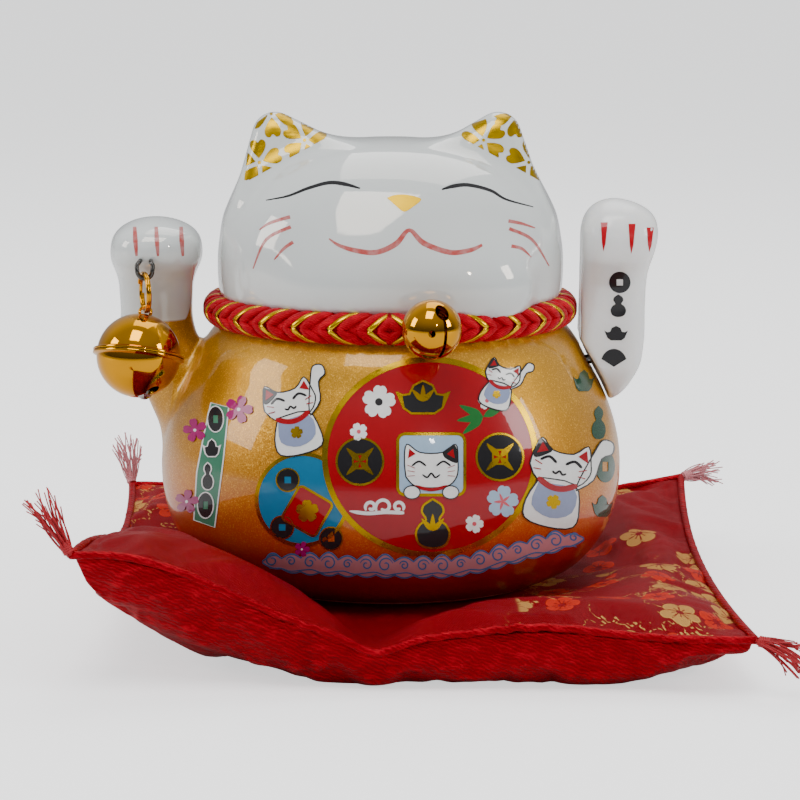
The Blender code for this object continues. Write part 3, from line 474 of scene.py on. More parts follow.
def turned_mesh(profile, steps=72):
    """A closed profile of (radius, height) in millimetres turned about Z."""
    shape = bmesh.new()
    points = [shape.verts.new((radius * MM, 0.0, height * MM)) for radius, height in profile]
    edges = [shape.edges.new((points[i], points[(i + 1) % len(points)])) for i in range(len(points))]
    bmesh.ops.spin(
        shape, geom=points + edges, cent=(0, 0, 0), axis=(0, 0, 1), angle=2 * pi, steps=steps, use_merge=True
    )
    bmesh.ops.remove_doubles(shape, verts=shape.verts, dist=0.000001)
    bmesh.ops.dissolve_degenerate(shape, edges=shape.edges, dist=0.0000005)
    return baked(shape, True)


# ---------------------------------------------------------------- distance fields


def smooth_union(first, second, reach):
    share = np.clip(0.5 + 0.5 * (second - first) / reach, 0.0, 1.0)
    return second + (first - second) * share - reach * share * (1.0 - share)


def smooth_cut(first, second, reach):
    """The part of first that is also in second, its edge rounded."""
    return -smooth_union(-first, -second, reach)


def curve_through(table):
    """A smooth function through rising (key, value) pairs."""
    keys, values = np.array(table, np.float64).T
    slopes = np.gradient(values, keys)

    def at(key):
        key = np.clip(key, keys[0], keys[-1])
        i = np.clip(np.searchsorted(keys, key) - 1, 0, len(keys) - 2)
        step = keys[i + 1] - keys[i]
        t = (key - keys[i]) / step
        return (
            (2 * t**3 - 3 * t**2 + 1) * values[i]
            + (t**3 - 2 * t**2 + t) * (slopes[i] * step)
            + (3 * t**2 - 2 * t**3) * values[i + 1]
            + (t**3 - t**2) * (slopes[i + 1] * step)
        )

    return at


def superellipsoid_field(x, y, z, centre, half, power=2.3):
    parts = [np.abs(a - c) / h + 1e-9 for a, c, h in zip((x, y, z), centre, half)]
    total = sum(part**power for part in parts)
    size = total ** (1 / power)
    steep = np.sqrt(sum((part ** (power - 1) / h) ** 2 for part, h in zip(parts, half)))
    return (size - 1.0) / np.maximum(steep * size ** (1 - power), 1e-6)


def capsule_field(x, y, z, start, end, start_radius, end_radius):
    start, end = np.array(start, float), np.array(end, float)
    along = end - start
    dx, dy, dz = x - start[0], y - start[1], z - start[2]
    t = np.clip((dx * along[0] + dy * along[1] + dz * along[2]) / (along @ along), 0, 1)
    gap = np.sqrt((dx - t * along[0]) ** 2 + (dy - t * along[1]) ** 2 + (dz - t * along[2]) ** 2)
    return gap - (start_radius + (end_radius - start_radius) * t)


def triangle_field(x, z, corners):
    """Distance to a triangle in the XZ plane, negative inside."""
    (ax, az), (bx, bz), (cx, cz) = corners
    turn = np.sign((bx - ax) * (cz - az) - (bz - az) * (cx - ax))
    gaps, sides = [], []
    for (ax, az), (bx, bz) in zip(corners, corners[1:] + corners[:1]):
        ex, ez = bx - ax, bz - az
        px, pz = x - ax, z - az
        t = np.clip((px * ex + pz * ez) / (ex * ex + ez * ez), 0, 1)
        gaps.append((px - ex * t) ** 2 + (pz - ez * t) ** 2)
        sides.append(turn * (ex * pz - ez * px))
    nearest = np.sqrt(np.minimum.reduce(gaps))
    return np.where(np.minimum.reduce(sides) > 0, -nearest, nearest)


def field_mesh(field, low, high, voxel):
    """Meshes a field's zero surface and draws each point onto it."""
    axes = [np.arange(a, b + voxel, voxel, dtype=np.float32) for a, b in zip(low, high)]
    x, y, z = np.meshgrid(*axes, indexing="ij")
    values = np.clip(field(x, y, z), -3 * voxel, 3 * voxel).astype(np.float32)
    grid = openvdb.FloatGrid(3 * voxel)
    grid.copyFromArray(values)
    points, quads = grid.convertToQuads(isovalue=0.0)
    points = points.astype(np.float64) * voxel + np.array([axis[0] for axis in axes], np.float64)
    step, passes = 0.05, 4
    for _ in range(passes):
        here = field(*points.T)
        slope = np.stack([
            (field(*(points + shift).T) - field(*(points - shift).T)) / (2 * step)
            for shift in np.eye(3) * step
        ], axis=1)
        size = np.maximum((slope**2).sum(1), 0.05)
        move = -(here / size)[:, None] * slope
        longest = np.sqrt((move**2).sum(1))
        move *= np.minimum(1.0, voxel * 0.7 / np.maximum(longest, 1e-9))[:, None]
        points += move
    a, b, c = (points[quads[:, i]] for i in range(3))
    facing = (np.cross(b - a, c - a) * slope[quads[:, 0]]).sum(1)
    if np.median(facing) < 0:
        quads = quads[:, ::-1]
    mesh = bpy.data.meshes.new("mesh")
    mesh.from_pydata((points * MM).tolist(), [], quads.tolist())
    mesh.update()
    return mesh


# ---------------------------------------------------------------- ceramic cat

body_radius = curve_through(BODY_CURVE)


def round_distance(x, y):
    """Distance from the axis on the cat's slightly flattened round."""
    return np.sqrt(x**2 + (y / DEPTH_RATIO) ** 2)


def body_field(x, y, z, inset=0.0):
    height = z - FOOT
    x = (x + 0.5) / 1.01
    slope = body_radius(height + 0.5) - body_radius(height - 0.5)
    side = (round_distance(x, y) - body_radius(height)) / np.sqrt(1 + slope**2) + inset
    side = smooth_cut(side, -height, 1.0)
    return np.maximum(side, height - 84.0)


def head_field(x, y, z):
    rise = z - HEAD_CENTRE[2]
    fuller = HEAD_CENTRE[2] + np.where(rise < 0, rise * 0.88, rise)
    head = superellipsoid_field(x, y, fuller, HEAD_CENTRE, HEAD_HALF)
    for side in (-1, 1):
        cheek = superellipsoid_field(x, y, z, (5 + side * 13.0, -31.0, FOOT + 83.5), (17.0, 11.2, 11.5), 2.0)
        head = smooth_union(head, cheek, 9.0)
    return head


def ear_field(x, y, z, side):
    tip = (side * 30.0 - 1.6, FOOT + 120.2)
    outer = (side * 37.0 - 0.8, FOOT + 98.0)
    inner = (side * 10.5, FOOT + 109.6)
    flat = triangle_field(x, z, [tip, outer, inner]) - 6.2
    level = np.clip((z - FOOT - 104.0) / 22.0, 0.0, 1.0)
    depth = np.abs(y + 5.0 - 2.0 * level) - (10.5 - 6.5 * level)
    return smooth_cut(flat, depth, 4.5)


def fixed_arm_field(x, y, z):
    shoulder, elbow, wrist = (-53.0, 1.5, FOOT + 42), (-64.6, 2.0, FOOT + 66), (-64.5, 0.0, FOOT + 86)
    upper = capsule_field(x, y, z, elbow, wrist, 9.4, 10.4)
    lower = capsule_field(x, y, z, shoulder, elbow, 10.5, 9.4)
    limb = smooth_union(upper, lower, 3.0)
    paw = superellipsoid_field(x, y, z, (-63.9, -4.2, FOOT + 90.0), (12.0, 12.8, 7.2), 2.5)
    return smooth_union(limb, paw, 5.5)


def cavity_field(x, y, z):
    """The hollow inside: body, neck, head and the opening in the foot."""
    height = z - FOOT
    body = np.maximum(np.maximum(body_field(x, y, z, WALL), 6.8 - height), height - 64.0)
    neck = np.maximum(round_distance(x, y) - 37.0, np.abs(height - 70.0) - 14.0)
    head = superellipsoid_field(x, y, z, HEAD_CENTRE, [h - WALL for h in HEAD_HALF])
    opening = np.maximum(np.sqrt(x**2 + y**2) - 35.4, height - 9.0)
    return np.minimum(np.minimum(body, neck), np.minimum(head, opening))


def cat_field(x, y, z):
    z = FOOT + (z - FOOT) / TALLER
    solid = smooth_union(body_field(x, y, z), head_field(x, y, z), 2.0)
    for side in (-1, 1):
        solid = smooth_union(solid, ear_field(x, y, z, side), 5.0)
    solid = smooth_union(solid, fixed_arm_field(x, y, z), 3.0)
    from_cord = np.sqrt(
        (round_distance(x - COLLAR_X, y) - COLLAR_RADIUS) ** 2
        + (z - COLLAR_Z + COLLAR_RISE * y / COLLAR_RADIUS) ** 2
    )
    grooved = smooth_cut(solid, GROOVE_RADIUS - from_cord, 1.0)
    solid = np.where(x < -50.5, solid, grooved)
    shaft = np.maximum(np.sqrt(y**2 + (z - PIVOT.z) ** 2) - SHAFT_HOLE, 30.0 - x)
    return np.maximum(np.maximum(solid, -cavity_field(x, y, z)), -shaft)


# ---------------------------------------------------------------- waving arm

ARM_LOW = PIVOT.z - 11.8
ARM_TALLER = 1.03
OUTER_FACE = curve_through((
    # height above the foot, x
    (47.0, 59.6), (49.6, 61.8), (55.2, 65.2), (59.5, 67.2), (64.4, 68.1), (75.5, 68.6), (83.3, 69.2),
    (89.0, 70.6), (94.9, 71.6), (99.5, 70.9), (104.0, 67.5),
))


def inner_face(y, z):
    """Least x of the arm, clear of the body at every angle of the wave."""
    best = np.full(np.shape(y), 51.0)
    for turn in np.radians(range(-22, 23, 4)):
        dy, dz = y - PIVOT.y, z - PIVOT.z
        at_y, at_z = dy * cos(turn) - dz * sin(turn), PIVOT.z + dy * sin(turn) + dz * cos(turn)
        radius = body_radius(np.minimum(at_z, FOOT + 66.0) - FOOT)
        inside = np.clip(1 - (at_y / (radius * DEPTH_RATIO)) ** 2, 0, 1)
        best = np.maximum(best, radius * np.sqrt(inside) + ARM_CLEARANCE)
    return best


def arm_field(x, y, z):
    z = ARM_LOW + (z - ARM_LOW) / ARM_TALLER
    height = z - FOOT
    hub = capsule_field(0 * x, y, z, (0, 0, PIVOT.z), (0, -1.2, FOOT + 82), 11.7, 9.6)
    paw = capsule_field(0 * x, y, z, (0, -1.6, FOOT + 84), (0, -4.4, FOOT + 91.2), 9.8, 11.9)
    profile = smooth_union(hub, paw, 4.0)
    outer = (x - OUTER_FACE(height)) * 0.96
    shoulder = np.maximum(0.0, height - 93.0) ** 2 * 0.02
    inner = (inner_face(y, z) + shoulder - x) * 0.95
    part = np.clip((height - 60.0) / 24.0, 0.0, 1.0)
    rounder = part * part * (3 - 2 * part)
    return smooth_cut(smooth_cut(profile, outer, 5.0 + 4.0 * rounder), inner, 1.0 + 6.0 * rounder)


def make_waving_arm(milky):
    """The arm's two moulded halves, a hair apart at their seam. Returns the front one."""
    halves = []
    for name, side in (("front", -1), ("rear", 1)):

        def half(x, y, z, side=side):
            return smooth_cut(arm_field(x, y, z), 0.07 - side * y, 0.35)

        mesh = field_mesh(half, (46, -20, FOOT + 45), (75, 16, FOOT + 109), 0.7)
        ride = ("waving_arm", "milk_plastic", milky)
        halves.append(piece(f"arm_{name}_half", mesh, *ride, f"arm_{name}_shell"))
    return halves[0]


# ---------------------------------------------------------------- outlines in the front elevation

# Outlines are given in the plane that faces the viewer at the camera's distance: u to the viewer's right from
# the cat's axis and w up from the middle of the view, both in millimetres.
PITCH = radians(CAMERA_PITCH)
VIEW_UP = Vector((0, sin(PITCH), cos(PITCH)))
PLANE_ORIGIN = Vector((0, CAMERA.y, CAMERA.z)) + Vector((0, cos(PITCH), -sin(PITCH))) * CAMERA_DISTANCE


def moved(points, u, w, turn=0.0, scale=1.0):
    c, s = cos(radians(turn)) * scale, sin(radians(turn)) * scale
    return [(u + a * c - b * s, w + a * s + b * c) for a, b in points]


def circle(u, w, radius, count=28, squash=1.0):
    angles = [2 * pi * i / count for i in range(count)]
    return moved([(radius * cos(angle), squash * radius * sin(angle)) for angle in angles], u, w)


def rounded_box(u, w, half_u, half_w, corner, turn=0.0):
    points = []
    for cu, cw, start in ((1, 1, 0), (-1, 1, 90), (-1, -1, 180), (1, -1, 270)):
        middle_u, middle_w = cu * (half_u - corner), cw * (half_w - corner)
        for i in range(5):
            angle = radians(start + 22.5 * i)
            points.append((middle_u + corner * cos(angle), middle_w + corner * sin(angle)))
    return moved(points, u, w, turn)


def smoothed(points, steps):
    """A Catmull-Rom line through points."""
    if len(points) < 3:
        return list(points)
    padded = [points[0], *points, points[-1]]
    path = []
    for a, b, c, d in zip(padded, padded[1:], padded[2:], padded[3:]):
        for i in range(steps):
            t = i / steps
            point = []
            for p, q, r, v in zip(a, b, c, d):
                second, third = 2 * p - 5 * q + 4 * r - v, 3 * q - p - 3 * r + v
                point.append(0.5 * (2 * q + (r - p) * t + second * t**2 + third * t**3))
            path.append(tuple(point))
    path.append(points[-1])
    return path


def rounded(points, steps=3):
    """A closed outline, smoothed."""
    return smoothed([*points, points[0]], steps)[:-1]


def band(path, half_width):
    """The outline of a line drawn along a path; half_width gives half its width at a point's number."""
    left, right = [], []
    for i, (u, w) in enumerate(path):
        before, after = path[max(0, i - 1)], path[min(len(path) - 1, i + 1)]
        du, dw = after[0] - before[0], after[1] - before[1]
        length = hypot(du, dw) or 1.0
        half = half_width(i)
        left.append((u - dw / length * half, w + du / length * half))
        right.append((u + dw / length * half, w - du / length * half))
    return left + right[::-1]


def stroke(points, width, taper=(0.4, 0.4), smooth=6):
    """A stroke along points, thin at its ends by the taper shares."""
    path = smoothed(points, smooth)
    last = len(path) - 1

    def half_width(i):
        return 0.5 * width * min(1.0, taper[0] + i / last * 5, taper[1] + (1 - i / last) * 5)

    return band(path, half_width)


def brush(points, widths, steps=6):
    """A brush stroke along points with its width given at each of them."""

    def half_width(i):
        return 0.5 * float(np.interp(i / steps, range(len(widths)), widths))

    return band(smoothed(points, steps), half_width)


def grown(points, amount):
    """An outline moved out by an amount, about its own centre."""
    cu = sum(p[0] for p in points) / len(points)
    cw = sum(p[1] for p in points) / len(points)
    result = []
    for i, (u, w) in enumerate(points):
        before, after = points[i - 1], points[(i + 1) % len(points)]
        du, dw = after[0] - before[0], after[1] - before[1]
        length = hypot(du, dw) or 1.0
        nu, nw = dw / length, -du / length
        if nu * (u - cu) + nw * (w - cw) < 0 and len(points) < 5:
            nu, nw = -nu, -nw
        result.append((u + nu * amount, w + nw * amount))
    return result


def ring_of(points, width):
    """A band of this width around an outline."""
    return [grown(points, width / 2), grown(points, -width / 2)]


def clipped(points, corners):
    """An outline cut to a convex area whose corners run anticlockwise."""
    for (au, aw), (bu, bw) in zip(corners, corners[1:] + corners[:1]):

        def side(point):
            return (bu - au) * (point[1] - aw) - (bw - aw) * (point[0] - au)

        result = []
        for p, q in zip(points, points[1:] + points[:1]):
            sp, sq = side(p), side(q)
            if sp >= 0:
                result.append(p)
            if (sp > 0 > sq) or (sp < 0 < sq):
                t = sp / (sp - sq)
                result.append((p[0] + (q[0] - p[0]) * t, p[1] + (q[1] - p[1]) * t))
        points = result
        if len(points) < 3:
            return []
    return points


class Ground:
    """A piece that prints are laid on, and how they ride with it."""

    def __init__(self, obj, body, slot, cell):
        points = [vertex.co / MM for vertex in obj.data.vertices]
        self.tree = BVHTree.FromPolygons(points, [tuple(face.vertices) for face in obj.data.polygons])
        self.body, self.slot, self.cell = body, slot, cell

    def smooth_normal(self, point, normal):
        """The normal near a point, averaged so that a print doesn't show the facets below."""
        total = Vector(normal)
        for shift in ((0.8, 0, 0), (-0.8, 0, 0), (0, 0, 0.8), (0, 0, -0.8)):
            total += self.tree.find_nearest(point + Vector(shift))[1]
        return total.normalized()

    def lay(self, name, shapes, surface, lift, cell=None, thick=0.10, behind=False):
        """Shapes laid on the piece along the lines of sight: each is [outline, hole, hole...]."""
        shape = bmesh.new()
        for outlines in shapes:
            loops = [[Vector((u, w, 0)) for u, w in outline] for outline in outlines]
            verts = [shape.verts.new(point) for loop in loops for point in loop]
            for triangle in tessellate_polygon(loops):
                corners = [verts[i] for i in triangle]
                if len(set(corners)) == 3:
                    shape.faces.new(corners)
        # Cuts into cells, small enough to follow the piece's curve.
        spans = [[limit(v.co[axis] for v in shape.verts) for limit in (min, max)] for axis in (0, 1)]
        for (low, high), normal in zip(spans, (Vector((1, 0, 0)), Vector((0, 1, 0)))):
            at = low + (cell or self.cell)
            while at < high:
                cut = {"geom": shape.verts[:] + shape.edges[:] + shape.faces[:], "dist": 1e-6}
                bmesh.ops.bisect_plane(shape, plane_co=normal * at, plane_no=normal, **cut)
                at += cell or self.cell
        eye = Vector((-CAMERA.x, -CAMERA.y, CAMERA.z)) if behind else CAMERA
        missed = []
        for vertex in shape.verts:
            target = PLANE_ORIGIN + Vector((vertex.co.x, 0, 0)) + VIEW_UP * vertex.co.y
            if behind:
                target.y, target.x = -target.y, -target.x
            hit = self.tree.ray_cast(eye, (target - eye).normalized())[0]
            if hit is None:
                missed.append(vertex)
            else:
                vertex.co = hit
        bmesh.ops.delete(shape, geom=missed, context="VERTS")
        shape.normal_update()
        toward = eye - Vector((0, 0, FOOT + 50))
        for face in shape.faces:
            if face.normal.dot(toward) < 0:
                face.normal_flip()
        shape.normal_update()
        for vertex in shape.verts:
            normal = self.tree.find_nearest(vertex.co)[1]
            vertex.co = (vertex.co + self.smooth_normal(vertex.co, normal) * lift) * MM
        bmesh.ops.solidify(shape, geom=shape.faces[:], thickness=thick * MM)
        made = piece(name, baked(shape), self.body, self.slot, surface)
        made.data.set_sharp_from_angle(angle=radians(42))


# ---------------------------------------------------------------- face and ears


def make_face(cat, inks):
    """Closed eyes, foil nose, smile, whiskers and the strokes on the fixed paw."""

    def lines(name, ink, strokes):
        cat.lay(name, [[brush(points, widths)] for points, widths in strokes], inks[ink], 0.05)

    lines("eye_lines", "black", [(points, (0.2, 0.55, 0.8, 0.95, 1.05, 0.35)) for points in (
        [(-34.2, 54.0), (-28.4, 55.1), (-22.9, 57.2), (-17.4, 58.7), (-13.2, 58.4), (-8.8, 57.2)],
        [(38.0, 52.2), (30.7, 54.2), (26.5, 56.6), (20.6, 58.1), (16.5, 57.8), (13.3, 56.9)],
    )])
    nose = [
        (-1.5, 54.6), (0.4, 55.3), (3.1, 55.5), (6.0, 55.0), (7.7, 54.1), (5.6, 52.3), (3.1, 50.9),
        (0.8, 52.6),
    ]
    cat.lay("nose_foil", [[rounded(nose, 4)]], inks["leaf"], 0.07)
    mouth = [
        (-17.2, 43.6), (-14.5, 41.8), (-10.0, 40.4), (-4.4, 39.9), (0.9, 42.2), (4.5, 45.9), (8.4, 42.4),
        (15.5, 39.9), (21.0, 40.5), (24.2, 41.9),
    ]
    lines("mouth_line", "faded_red", [(mouth, (0.3, 0.9, 1.3, 1.4, 1.5, 1.0, 1.5, 1.4, 1.2, 0.7))])
    outer_thin = (0.25, 0.8, 0.95)
    left = (
        [(-36.0, 46.0), (-33.0, 47.9), (-27.7, 49.5)],
        [(-37.7, 35.5), (-34.2, 43.3), (-27.5, 46.8)],
        [(-32.0, 37.9), (-29.5, 40.8), (-26.9, 42.7)],
    )
    right = (
        [(31.3, 48.4), (34.8, 47.7), (38.5, 46.5)],
        [(31.5, 46.3), (37.7, 43.3), (42.3, 36.2)],
        [(32.1, 41.6), (34.9, 40.9), (37.5, 38.6)],
    )
    whiskers = [(points, outer_thin) for points in left] + [(points, outer_thin[::-1]) for points in right]
    lines("whisker_lines", "faded_red", whiskers)
    claws = [[(u, 46.8), (u + 0.2, 43.0), (u + 0.5, 38.9)] for u in (-69.7, -63.9, -57.2)]
    lines("paw_strokes", "faded_red", [(points, (0.9, 1.3, 0.6)) for points in claws])


def heart(u, w, size, turn):
    """A heart shaped petal whose point is at (u, w)."""
    outline = [(0, 0), (0.27, 0.34), (0.43, 0.68), (0.37, 0.96), (0.17, 1.03), (0, 0.88)]
    return moved(rounded(outline + [(-a, b) for a, b in outline[-2:0:-1]]), u, w, turn, size)


def make_ears(cat, inks):
    """Gold foil heart petals round three knots on each ear's front face."""
    area = [
        (-40.2, 58.6), (-17.0, 71.4), (-20.5, 74.6), (-28.4, 77.3), (-33.0, 77.7), (-36.6, 75.0),
        (-38.9, 69.0),
    ]
    middle_u, petal_start = 0.4, 1.1
    petals = []
    for cu, cw, size, directions in (
        (-32.8, 77.4, 5.1, (275, 203, 347)),
        (-36.0, 64.2, 4.9, (95, 167, 239, 23, 311)),
        (-23.8, 70.2, 4.8, (148, 76, 4, 220, 292)),
    ):
        for direction in directions:
            a = radians(direction)
            petals.append(heart(cu + petal_start * cos(a), cw + petal_start * sin(a), size, direction - 90))
        petals.append(circle(cu, cw, 0.45, 10))
    petals = [petal for petal in (clipped(outline, area) for outline in petals) if petal]
    mirrored = [[(2 * middle_u - u, w) for u, w in petal][::-1] for petal in petals]
    cat.lay("ear_petals", [[petal] for petal in petals + mirrored], inks["gold"], 0.08, cell=0.5)


# ---------------------------------------------------------------- ornaments printed on the body


def blossom(u, w, radius, turn=0.0, heart_size=0.62):
    points = []
    petals = 5
    for i in range(petals * 10):
        angle = 2 * pi * i / (petals * 10)
        lobe = abs(cos(petals * angle / 2))
        notch = 0.10 * max(0.0, lobe - 0.93) / 0.07
        reach = radius * (heart_size + (1 - heart_size) * lobe**0.6 - notch)
        points.append((reach * cos(angle), reach * sin(angle)))
    return moved(points, u, w, turn)


def coin(u, w, size):
    return [circle(u, w, 0.50 * size), rounded_box(u, w, 0.15 * size, 0.15 * size, 0.02 * size)[::-1]]


def ingot(u, w, size):
    outline = [
        (-0.55, 0.10), (-0.42, 0.02), (-0.28, 0.04), (-0.20, 0.22), (0, 0.32), (0.20, 0.22), (0.28, 0.04),
        (0.42, 0.02), (0.55, 0.10), (0.40, -0.25), (0.24, -0.36), (-0.24, -0.36), (-0.40, -0.25),
    ]
    return [moved(outline, u, w, 0, size)]


def gourd(u, w, size):
    side = [
        (0.10, 0.50), (0.20, 0.42), (0.23, 0.28), (0.14, 0.12), (0.27, 0.02), (0.36, -0.16), (0.30, -0.38),
        (0.12, -0.48),
    ]
    return [moved(rounded([(0.0, 0.56), *((-a, b) for a, b in side), *side[::-1]]), u, w, 0, size)]


def fan(u, w, size):
    angles = [radians(160 - 140 * i / 12) for i in range(13)]
    return [moved([(0.0, -0.42), *((0.62 * cos(a), -0.30 + 0.72 * sin(a)) for a in angles)], u, w, 0, size)]


def leaf(u, w, length, turn):
    outline = [(0, 0), (0.14, 0.25), (0.13, 0.55), (0.0, 1.0), (-0.13, 0.55), (-0.14, 0.25)]
    return moved(rounded(outline), u, w, turn, length)


def scroll(u, w, length):
    """Strokes of a cloud scroll: a tail and three rolled puffs."""
    strokes = [stroke([(-0.5, -0.01), (-0.2, -0.05), (0.1, -0.03), (0.42, -0.04)], 0.06, (0.2, 0.6))]
    for centre, radius, side in ((-0.14, 0.10, 1), (0.08, 0.15, 1), (0.32, 0.10, -1)):
        curl = []
        for k in range(15):
            angle = pi / 2 + side * (2.2 - 6.4 * k / 14)
            reach = radius * (1.0 - 0.05 * k)
            curl.append((centre + reach * cos(angle), 0.06 + reach * sin(angle)))
        strokes.append(stroke(curl, 0.055, (0.5, 0.5), 2))
    return [[moved(outline, u, w, 0, length)] for outline in strokes]


def narrowed(shape, u, share):
    """A shape squeezed towards the line at u."""
    return [[(u + (a - u) * share, w) for a, w in outline] for outline in shape]


def cloud_band():
    """The scalloped cloud band under the discs: its outline, and the strokes that curl inside its puffs."""
    puffs, steps, sizes = 17, 6, (1.0, 0.62, 0.82)
    upper, lower, curls = [], [], []

    def middle(part):
        return -35.0 + 86.4 * part, -43.6 - 1.6 * sin(pi * part) + 6.2 * smooth_step((part - 0.55) / 0.45)

    for i in range(puffs * steps + 1):
        part = i / (puffs * steps)
        u, w = middle(part)
        full = sqrt(min(1.0, 9 * part + 0.02, 9 * (1 - part) + 0.02))
        swell = abs(sin(pi * i / steps))
        upper.append((u, w + full * (1.6 + 1.9 * sizes[i // steps % 3] * swell)))
        lower.append((u, w - full * (2.0 + 0.8 * swell)))
    for i in range(puffs):
        u, w = middle((i + 0.5) / puffs)
        side = 1 if i % 2 else -1
        curl = []
        for k in range(16):
            angle = 2.9 - 8.2 * k / 15
            reach = 2.1 * sizes[i % 3] * (1.0 - 0.052 * k)
            curl.append((u + side * reach * cos(angle), w + 0.6 + reach * sin(angle)))
        curls.append([stroke(curl, 0.40, (0.4, 0.4), 2)])
    line = map(middle, np.linspace(0.02, 0.98, 30))
    wave = [(u, w - 1.7 + 0.4 * sin(2.1 * i)) for i, (u, w) in enumerate(line)]
    curls.append([stroke(wave, 0.34)])
    return upper + lower[::-1], curls


def print_discs(lay):
    """The small blue disc and the large red one, with the coins, ingot and gourd on them."""
    blue_disc, red_square = circle(-24.4, -26.9, 12.3, 48), rounded_box(-23.0, -30.0, 5.2, 5.2, 1.2, -30)
    lay(1, "blue", [blue_disc])
    lay(2, "gold", ring_of(blue_disc, 1.0))
    lay(3, "red", [red_square])
    lay(4, "gold", ring_of(red_square, 0.6), [blossom(-23.0, -30.0, 3.2, 20)])
    for u, w in ((-28.3, -21.6), (-29.8, -34.4), (-16.6, -37.4)):
        lay(2, "black", coin(u, w, 6.0))
        lay(3, "gold", ring_of(circle(u, w, 3.1), 0.35))
    red_disc = circle(10.1, -15.4, 28.4, 72, squash=0.925)
    lay(3, "red", [red_disc])
    lay(4, "gold", ring_of(red_disc, 1.5))
    for make, u, w, size in (
        (ingot, 8.2, 1.0, 13.0),
        (coin, -8.8, -16.6, 12.6),
        (coin, 28.9, -15.4, 12.6),
        (gourd, 10.8, -33.8, 12.6),
    ):
        shape = make(u, w, size)
        lay(4, "black", shape)
        lay(5, "gold", ring_of(shape[0], 0.55))
        if make is coin:
            lay(5, "gold", ring_of(shape[1][::-1], 0.5), *([leaf(u, w, 5.2, 45 + 90 * i)] for i in range(4)))
        else:
            lay(5, "gold", *([leaf(u, w - 1.5, 4.6, turn)] for turn in (-42, 0, 42)))


def print_window_cat(lay):
    """The plain cat that looks out of the square window in the red disc."""
    window = rounded_box(10.4, -17.4, 9.0, 8.2, 2.0)
    head = [
        (-6.8, -2.6), (-7.2, 1.6), (-6.6, 6.2), (-3.0, 4.0), (3.0, 4.0), (6.6, 6.2), (7.2, 1.6), (6.8, -2.6),
        (3.8, -5.2), (-3.8, -5.2),
    ]

    def at_head(outline):
        return [moved(outline, 10.4, -18.2)]

    lay(4, "pale_blue", [window])
    lay(5, "gold", ring_of(window, 0.8))
    head = at_head(rounded(head, 4))
    lay(5, "white", head)
    patch = [(3.0, 4.1), (6.4, 6.0), (7.1, 1.8), (6.3, 1.2), (3.6, 2.6)]
    lay(6, "ink", ring_of(head[0], 0.32), at_head(rounded(patch)))
    lay(7, "red", *(at_head([(s * 5.9, 5.0), (s * 4.2, 3.6), (s * 6.3, 2.4)]) for s in (-1, 1)))
    lay(7, "ink", *(at_head(stroke([(s - 1.9, 0.4), (s, 1.6), (s + 1.9, 0.4)], 0.5)) for s in (-3.3, 3.3)))
    lay(7, "ink", at_head(stroke([(-2.4, -1.9), (-1.1, -2.7), (0, -1.6), (1.1, -2.7), (2.4, -1.9)], 0.45)))
    for s in (-1, 1):
        for k in (-1, 0, 1):
            lay(7, "red", at_head(stroke([(s * 4.4, -1.2 + k), (s * 6.4, -0.9 + 1.5 * k)], 0.34)))
    lay(7, "red", at_head(stroke([(-4.6, -5.0), (0, -6.0), (4.6, -5.0)], 0.9)))
    for s in (-1, 1):
        paw = circle(10.4 + s * 5.2, -24.9, 2.2, 18, 0.8)
        lay(8, "white", [paw])
        lay(9, "ink", ring_of(paw, 0.28))


def print_small_cat(lay, u, w, size, turn):
    """A plain sitting cat with a raised paw, collar and bib."""

    def at_place(outline):
        return [moved(outline, u, w, turn, size)]

    def line(points, width):
        return at_place(stroke(points, width, (0.5, 0.5), 4))

    body = [
        (-0.30, 0.10), (-0.46, -0.30), (-0.42, -0.62), (0.0, -0.70), (0.42, -0.62), (0.46, -0.30),
        (0.30, 0.10),
    ]
    raised = [
        (0.34, 0.0), (0.60, 0.24), (0.66, 0.62), (0.82, 0.74), (0.80, 0.92), (0.62, 0.94), (0.52, 0.72),
        (0.36, 0.2),
    ]
    bib = [(-0.31, 0.02), (0.31, 0.02), (0.35, -0.38), (0.0, -0.54), (-0.35, -0.38)]
    patch = [(-0.42, 0.76), (-0.50, 0.50), (-0.44, 0.42), (-0.26, 0.52), (-0.20, 0.61)]
    head = [
        (-0.52, 0.30), (-0.50, 0.50), (-0.40, 0.78), (-0.18, 0.60), (0.18, 0.60), (0.40, 0.78), (0.50, 0.50),
        (0.52, 0.30), (0.36, 0.08), (0.0, 0.0), (-0.36, 0.08),
    ]
    for outline in (body, raised, head):
        shape = at_place(rounded(outline))
        lay(6, "white", shape)
        lay(7, "ink", ring_of(shape[0], 0.34))
    lay(8, "bib_blue", at_place(rounded(bib)))
    for s in (-0.22, 0.22):
        lay(8, "ink", line([(s - 0.14, 0.40), (s, 0.48), (s + 0.14, 0.40)], 0.045))
    lay(8, "ink", line([(-0.12, 0.25), (-0.06, 0.22), (0.0, 0.27), (0.06, 0.22), (0.12, 0.25)], 0.035))
    lay(8, "ink", at_place(rounded(patch)))
    lay(9, "red", line([(-0.34, 0.09), (-0.16, 0.0), (0.0, -0.03), (0.16, 0.0), (0.34, 0.09)], 0.10))
    for s in (-1, 1):
        for rise in (-0.06, 0.03):
            lay(9, "red", line([(s * 0.32, 0.30 + rise), (s * 0.45, 0.33 + rise * 1.6)], 0.03))
    for s in (-1, 1):
        lay(9, "red", at_place([(s * 0.385, 0.70), (s * 0.26, 0.575), (s * 0.445, 0.50)]))
    heart_u, heart_w = u + size * 0.25 * sin(radians(turn)), w - size * 0.26 * cos(radians(turn))
    lay(9, "gold", [blossom(heart_u, heart_w, size * 0.13, turn)])


